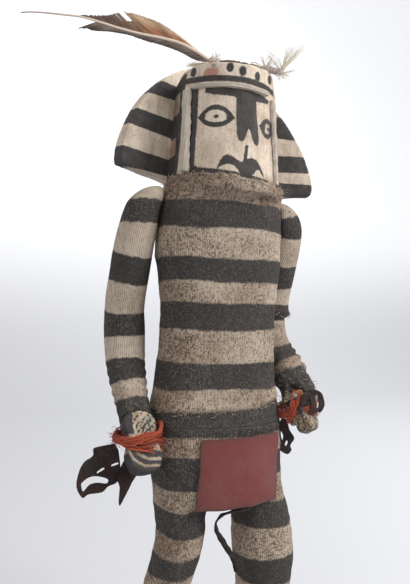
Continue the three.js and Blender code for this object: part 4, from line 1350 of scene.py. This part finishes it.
@dataclass
class CrownFeathers:
    """The long feather, the down, the bound quills, the thread and its wisps.

    Places are (along, up) in the upright plane of the long feather, from the tie towards its tip.
    """

    bearing: float = 26.0
    aside: float = -2.6
    split: tuple[float, float] = (66.0, 69.5)
    vane_end: float = 98.5
    shaft: tuple = (
        (-3.5, -2.4), (2.8, -1), (12.3, 4.9), (24.7, 11), (37.8, 14.3), (55.1, 17.4), (68.8, 20.7),
        (82.6, 24.6), (97.1, 28.2), (110.1, 29.4), (120.9, 30.3), (131.7, 30.7), (140, 30.2),
    )
    top_edge: tuple = (
        (5, 1.2), (12.3, 6.2), (21.9, 13.3), (32.2, 20.6), (45.3, 27.4), (59, 31.2), (69.1, 32),
        (77.7, 29.8), (97, 29.2),
    )
    low_edge: tuple = ((5, -2.6), (15.8, 0.3), (30.4, 6.9), (52.1, 12.8), (66.6, 17), (86.8, 18.8), (97, 20))
    quills: tuple = ((-4.2, -2.6), (-10.1, -2.1), (-16.6, -2.8), (-29, -5), (-40.5, -6.6), (-48, -7.8))

    def to_doll(self, flat: Array) -> Array:
        """Points (along, up, deep) of the feather's plane in the doll's frame; the knot gives the tie."""
        low, high = node_box("crown_knot")
        tie = (low + high) / 2 - AXIS + [self.aside, 0, -0.6]
        bearing = math.radians(self.bearing)
        outwards = np.array([-math.cos(bearing), math.sin(bearing), 0.0])
        deep = np.array([math.sin(bearing), math.cos(bearing), 0.0])
        return tie + flat[:, :1] * outwards + flat[:, 2:3] * deep + flat[:, 1:2] * np.array([0, 0, 1.0])

    def edge(self, points: tuple, along: Array) -> Array:
        """Height of an edge at places along the feather."""
        line = smooth_path(list(points), 80)
        return np.interp(along, line[:, 0], line[:, 1])

    def barbs(self, upper: bool, count: int, seed: int) -> list[Skin]:
        """Barbs of one vane.

        A barb leaves the shaft and runs towards the feather's tip until it meets the vane's edge: its
        height grows a little faster than its run, it waves sideways, and its width fades to its tip.
        """
        rng = np.random.default_rng(seed)
        made = []
        for tip_along in np.linspace(9, 98, count):
            tip = tip_along + rng.uniform(-0.5, 0.5)
            height = self.edge(self.top_edge if upper else self.low_edge, np.array([tip]))[0]
            reach = abs(height - self.edge(self.shaft, np.array([tip]))[0])
            lag = 1.35 * reach + 3.0
            ragged = rng.uniform(0.95, 1.02) if rng.uniform() > 0.06 else rng.uniform(0.75, 1.08)
            if upper and self.split[0] < tip_along < self.split[1]:
                ragged = 0.62
            if tip_along > 86:
                ragged *= rng.uniform(0.8, 1.12)
            base = max(tip - lag, 2.0)
            start = np.array([base, self.edge(self.shaft, np.array([base]))[0]])
            end = np.array([min(tip, self.vane_end + rng.uniform(-3, 1)), height])
            t = np.linspace(0, 1, 9)
            bent = t**1.15
            along = start[0] + (end[0] - start[0]) * t * ragged
            up = start[1] + (end[1] - start[1]) * bent * ragged
            deep = 0.35 * np.sin(t * 3 + tip_along * 0.35) * t + rng.uniform(-0.25, 0.25)
            path = self.to_doll(np.column_stack([along, up, deep]))
            width = 0.62 * (1 - 0.55 * t) + 0.05
            strand = tube(path, width, 4, up=(0.44, 0.9, 0.0), flat=0.22)
            way = np.concatenate([np.repeat(t, 4), [0, 1]])
            strand.values["tip"] = way
            strand.values["far"] = np.full(len(way), tip_along / 100)
            strand.values["upper"] = np.full(len(way), 1.0 if upper else 0.0)
            made.append(strand)
        return made

    def build_feather(self, material: Material) -> None:
        """Shaft and both vanes."""
        line = smooth_path([(*point, 0.0) for point in self.shaft], 160)
        taper = np.interp(line[:, 0], [-4, 60, 97, 140], [1.25, 0.9, 0.75, 0.4])
        shaft = tube(self.to_doll(line), taper, 10, up=(0.44, 0.9, 0.0))
        bare = np.interp(line[:, 0], [0, 90, 112, 132, 140], [0.9, 0.95, 0.55, 0.2, 0.05])
        shaft.values["shaft"] = np.concatenate([np.repeat(bare, 10), [0.9, 0.1]])
        skins = [shaft, *self.barbs(True, 300, 71), *self.barbs(False, 280, 72)]
        add_piece("long_plume", joined(skins), material, ["long_feather"], turn=True)

    def wisps(
        self, base: tuple, tips: list[tuple], count: int, seed: int, radius: float, spread: float
    ) -> list[Skin]:
        """Fine hairs that leave one place and bend towards scattered tips."""
        rng = np.random.default_rng(seed)
        made = []
        for index in range(count):
            tip = np.array(tips[index % len(tips)], float) + rng.normal(size=3) * spread
            start = np.array(base, float) + rng.normal(size=3) * 0.7
            bow = (start + tip) / 2 + rng.normal(size=3) * spread * 0.6
            path = self.to_doll(smooth_path([start, bow, tip], 12))
            made.append(tube(path, np.linspace(radius, radius * 0.35, 12), 4))
        return made

    def winding(
        self, line: Array, radius: float, strand: float, turns: float, phase: float, twist: float
    ) -> Skin:
        """A strand wound round a line: a helix of the given radius and number of turns."""
        count = int(turns * 26) + 8
        t = np.linspace(0, 1, count)
        way = np.linspace(0, 1, len(line))
        core = np.column_stack([np.interp(t, way, line[:, axis]) for axis in range(3)])
        across, other = frames_along(core, np.array([0, 0, 1.0]))
        turn = 2 * math.pi * turns * t + phase
        path = core + radius * (across * np.cos(turn)[:, None] + other * np.sin(turn)[:, None])
        return tube(path, strand, 7, up=(0.3, 0.2, 0.93), strand_twist=twist)

    def build_bindings(self, string: Material, dark: Material, down: Material) -> None:
        """String knot, dark bound quills, pale thread, down under the feather and wisps at the front."""
        rng = np.random.default_rng(81)
        knot_line = self.to_doll(smooth_path([(3.4, -0.5, 0), (0.2, -1.6, 0), (-3.2, -2.3, 0)], 20))
        turns = [self.winding(knot_line, 2.3 + 0.25 * k, 0.62, 3.2, 2.1 * k, 0.6) for k in range(3)]
        turns += self.wisps((0, 1, 0), [(-1, 5.2, -1), (2.5, 5, 1), (-3, 4, 0)], 9, 82, 0.28, 0.8)
        add_piece("string_knot", joined(turns), string, ["crown_knot"], turn=True)
        line = smooth_path([(*point, 0.0) for point in self.quills], 90)
        quill = self.to_doll(line[line[:, 0] > -30.2])
        strands = [self.winding(quill, 1.1, 0.95, 2.4, k * 2.1, 0.3) for k in range(3)]
        strands += [self.winding(quill, 1.75, 0.4, 7.5, 0.9 + k, 0.5) for k in range(2)]
        add_piece("bound_quills", joined(strands), dark, ["quill_wrap"], turn=True)
        thread = self.to_doll(line[line[:, 0] < -29.0])
        wound = [self.winding(thread, 1.0 + 0.5 * (k % 3), 0.5, 5.5 + k, k * 1.3, 0.7) for k in range(6)]
        for k in range(26):
            start = line[line[:, 0] < -31][rng.integers(0, 30)] + rng.normal(size=3) * [1, 1.2, 1.4]
            sway = rng.normal(size=3) * [4, 1.2, 1.6]
            path = smooth_path([start, start + sway * 0.5 + [0, 1.2, 0], start + sway], 14)
            wound.append(tube(self.to_doll(path), 0.3, 6, strand_twist=0.7))
        add_piece("pale_thread", joined(wound), string, ["front_thread"], turn=True)
        tips = [(20.7, -5.2, -2), (17, -3.8, -1), (14, -6.4, -3), (19, -4.6, 0)]
        soft = self.wisps((5.5, -3.8, -1.5), tips, 70, 83, 0.14, 0.9)
        add_piece("down_tuft", joined(soft), down, ["down_feather"], turn=True)
        high = [(-51.5, 10, -1), (-57, 11, 0), (-64, 11.5, 1.5), (-60, 8, 2), (-38, 4.5, -1), (-56, 3, 0)]
        fringe = [(-50, -13, -2), (-46, -14.5, -2), (-53, -11, -1), (-57, -6, 0)]
        loose = [(-33, 4, 0), (-40, 5, 1), (-45, 1, 0), (-38, -10, -2)]
        tuft = self.wisps((-48, -7, 0), high, 30, 84, 0.34, 1.1)
        tuft += self.wisps((-47, -8.5, -1), fringe, 22, 85, 0.3, 0.9)
        tuft += self.wisps((-36, -4.5, 0), loose, 22, 86, 0.26, 1.4)
        add_piece("front_wisps", joined(tuft), down, ["plume_tuft"], turn=True)

    def build(self, vane: Material, string: Material, dark: Material, down: Material) -> None:
        """Everything on the crown."""
        self.build_feather(vane)
        self.build_bindings(string, dark, down)


# Studio


@dataclass(frozen=True)
class Studio:
    """Camera, lights and the pale sweep behind the doll."""

    camera: Triple = (-218.505, -427.477, 306.764)
    azimuth: float = -26.0
    roll: float = 1.5
    focal_pixels: float = 640.0
    long_side: int = 584
    lamps: tuple = (
        ("key", (0.95, -0.9, 1.15), 0.8, 28.0),
        ("fill", (-1.25, -0.9, 0.8), 1.2, 8.0),
        ("above", (0.5, 0.4, 1.9), 1.2, 9.0),
    )

    def build_camera(self) -> None:
        """Level camera at the measured place; its focal length is given in pixels of the long side."""
        data = bpy.data.cameras.new("camera")
        data.sensor_width = 36.0
        data.lens = self.focal_pixels / self.long_side * data.sensor_width
        data.clip_start = 0.01
        eye = bpy.data.objects.new("camera", data)
        angle, roll = math.radians(self.azimuth), math.radians(self.roll)
        forward = Vector((-math.sin(angle), math.cos(angle), 0))
        level = Vector((math.cos(angle), math.sin(angle), 0))
        right = level * math.cos(roll) + Vector((0, 0, 1)) * math.sin(roll)
        above = right.cross(forward)
        turn = Matrix((right, above, -forward)).transposed()
        place = (Vector(self.camera) + Vector(AXIS)) * MM
        eye.matrix_world = Matrix.Translation(place) @ turn.to_4x4()
        bpy.context.scene.collection.objects.link(eye)
        bpy.context.scene.camera = eye

    def build_sweep(self) -> None:
        """A floor that curves up into a wall: a line, a quarter circle and a line, drawn out sideways."""
        bend, near, depth, wall, half_width = 0.45, -4.0, 1.15, 2.6, 9.0
        turn = np.linspace(0, math.pi / 2, 24)
        profile = np.concatenate([
            [[near, 0.0]],
            np.column_stack([depth + bend * np.sin(turn), bend * (1 - np.cos(turn))]),
            [[depth + bend, wall]],
        ])
        sides = np.linspace(-half_width, half_width, 12)
        rows, columns = len(profile), len(sides)
        parts = np.broadcast_arrays(sides[None, :], profile[:, :1], profile[:, 1:])
        points = np.stack(parts, -1).reshape(-1, 3)
        corner = (np.arange(rows - 1)[:, None] * columns + np.arange(columns - 1)[None, :]).ravel()
        quads = np.stack([corner, corner + 1, corner + columns + 1, corner + columns], -1)
        sweep = write_mesh("sweep", Skin(points / MM - AXIS, quads))
        graph, shader = new_material("pale sweep with painted shade and glow")
        place = graph.place()
        parts = graph.add("SeparateXYZ", {0: place})
        # painted shade and glow: the floor is darker than the wall and darker to the left, and the wall glows
        # more with height
        wall = graph.ramp(parts.outputs[2], 0.0, 0.7)
        aside = graph.ramp(parts.outputs[0], -0.4, 1.0)
        floor = graph.mix(aside, (158, 158, 162), (188, 189, 193))
        base = graph.mix(wall, floor, (205, 206, 209))
        base = graph.mix(graph.times(graph.noise(place, 1.5, 3.0), 0.1), base, (200, 201, 205))
        graph.put(shader, "Base Color", base)
        shader.inputs["Emission Color"].default_value = (0.98, 0.985, 1.0, 1.0)
        graph.put(shader, "Emission Strength", graph.ramp(wall, 0.0, 1.0, 0.2, 0.48))
        shader.inputs["Roughness"].default_value = 0.9
        sweep.data.materials.append(bpy.data.materials["pale sweep with painted shade and glow"])

    def add_light(self, name: str, place: Triple, size: float, power: float) -> None:
        """A square soft light that looks at the doll's chest."""
        data = bpy.data.lights.new(name, "AREA")
        data.size = size
        data.energy = power
        lamp = bpy.data.objects.new(name, data)
        lamp.location = place
        lamp.rotation_mode = "QUATERNION"
        lamp.rotation_quaternion = (Vector(place) - Vector((0, 0, 0.3))).to_track_quat("Z", "Y")
        bpy.context.scene.collection.objects.link(lamp)

    def build(self) -> None:
        """Camera, sweep, world and three lights."""
        self.build_camera()
        self.build_sweep()
        world = bpy.data.worlds.new("studio")
        world.use_nodes = True
        background = world.node_tree.nodes["Background"]
        background.inputs["Color"].default_value = (1.0, 1.0, 1.0, 1.0)
        background.inputs["Strength"].default_value = 0.5
        bpy.context.scene.world = world
        for lamp in self.lamps:
            self.add_light(*lamp)
        bpy.context.scene.view_settings.view_transform = "Standard"


def main() -> None:
    """Builds the doll piece by piece."""
    Studio().build()
    effects = Effects.make()
    knit = KnitFinish().make(effects)
    wood = PaintedWood("chalk paint on wood").make(effects)
    hand_wood = PaintedWood(
        "worn paint on hands", cream=(178, 166, 148), shade=(84, 74, 62), speck_scale=260.0, speck_share=0.9
    ).make(effects)
    foot_wood = PaintedWood("earth paint on wood", cream=(132, 98, 76), shade=(96, 70, 54)).make(effects)
    reed, wool, string, twine, down, fray = (StrandFinish(*sizes).make(effects) for sizes in STRANDS)
    KnitSuit().build(knit, fray)
    head = Head()
    head.build_block(wood)
    head.build_board(wood)
    head.build_reeds(reed)
    hands = Hands()
    for side in ("right", "left"):
        hands.build_hand(side, hand_wood)
        hands.build_foot(side, foot_wood)
        hands.build_yarn(side, wool)
    hands.build_leather(LeatherFinish().make(effects))
    Loincloth().build(ClothFinish().make(effects))
    CrownFeathers().build(VaneFinish().make(effects), string, twine, down)


if __name__ == "__main__":
    main()
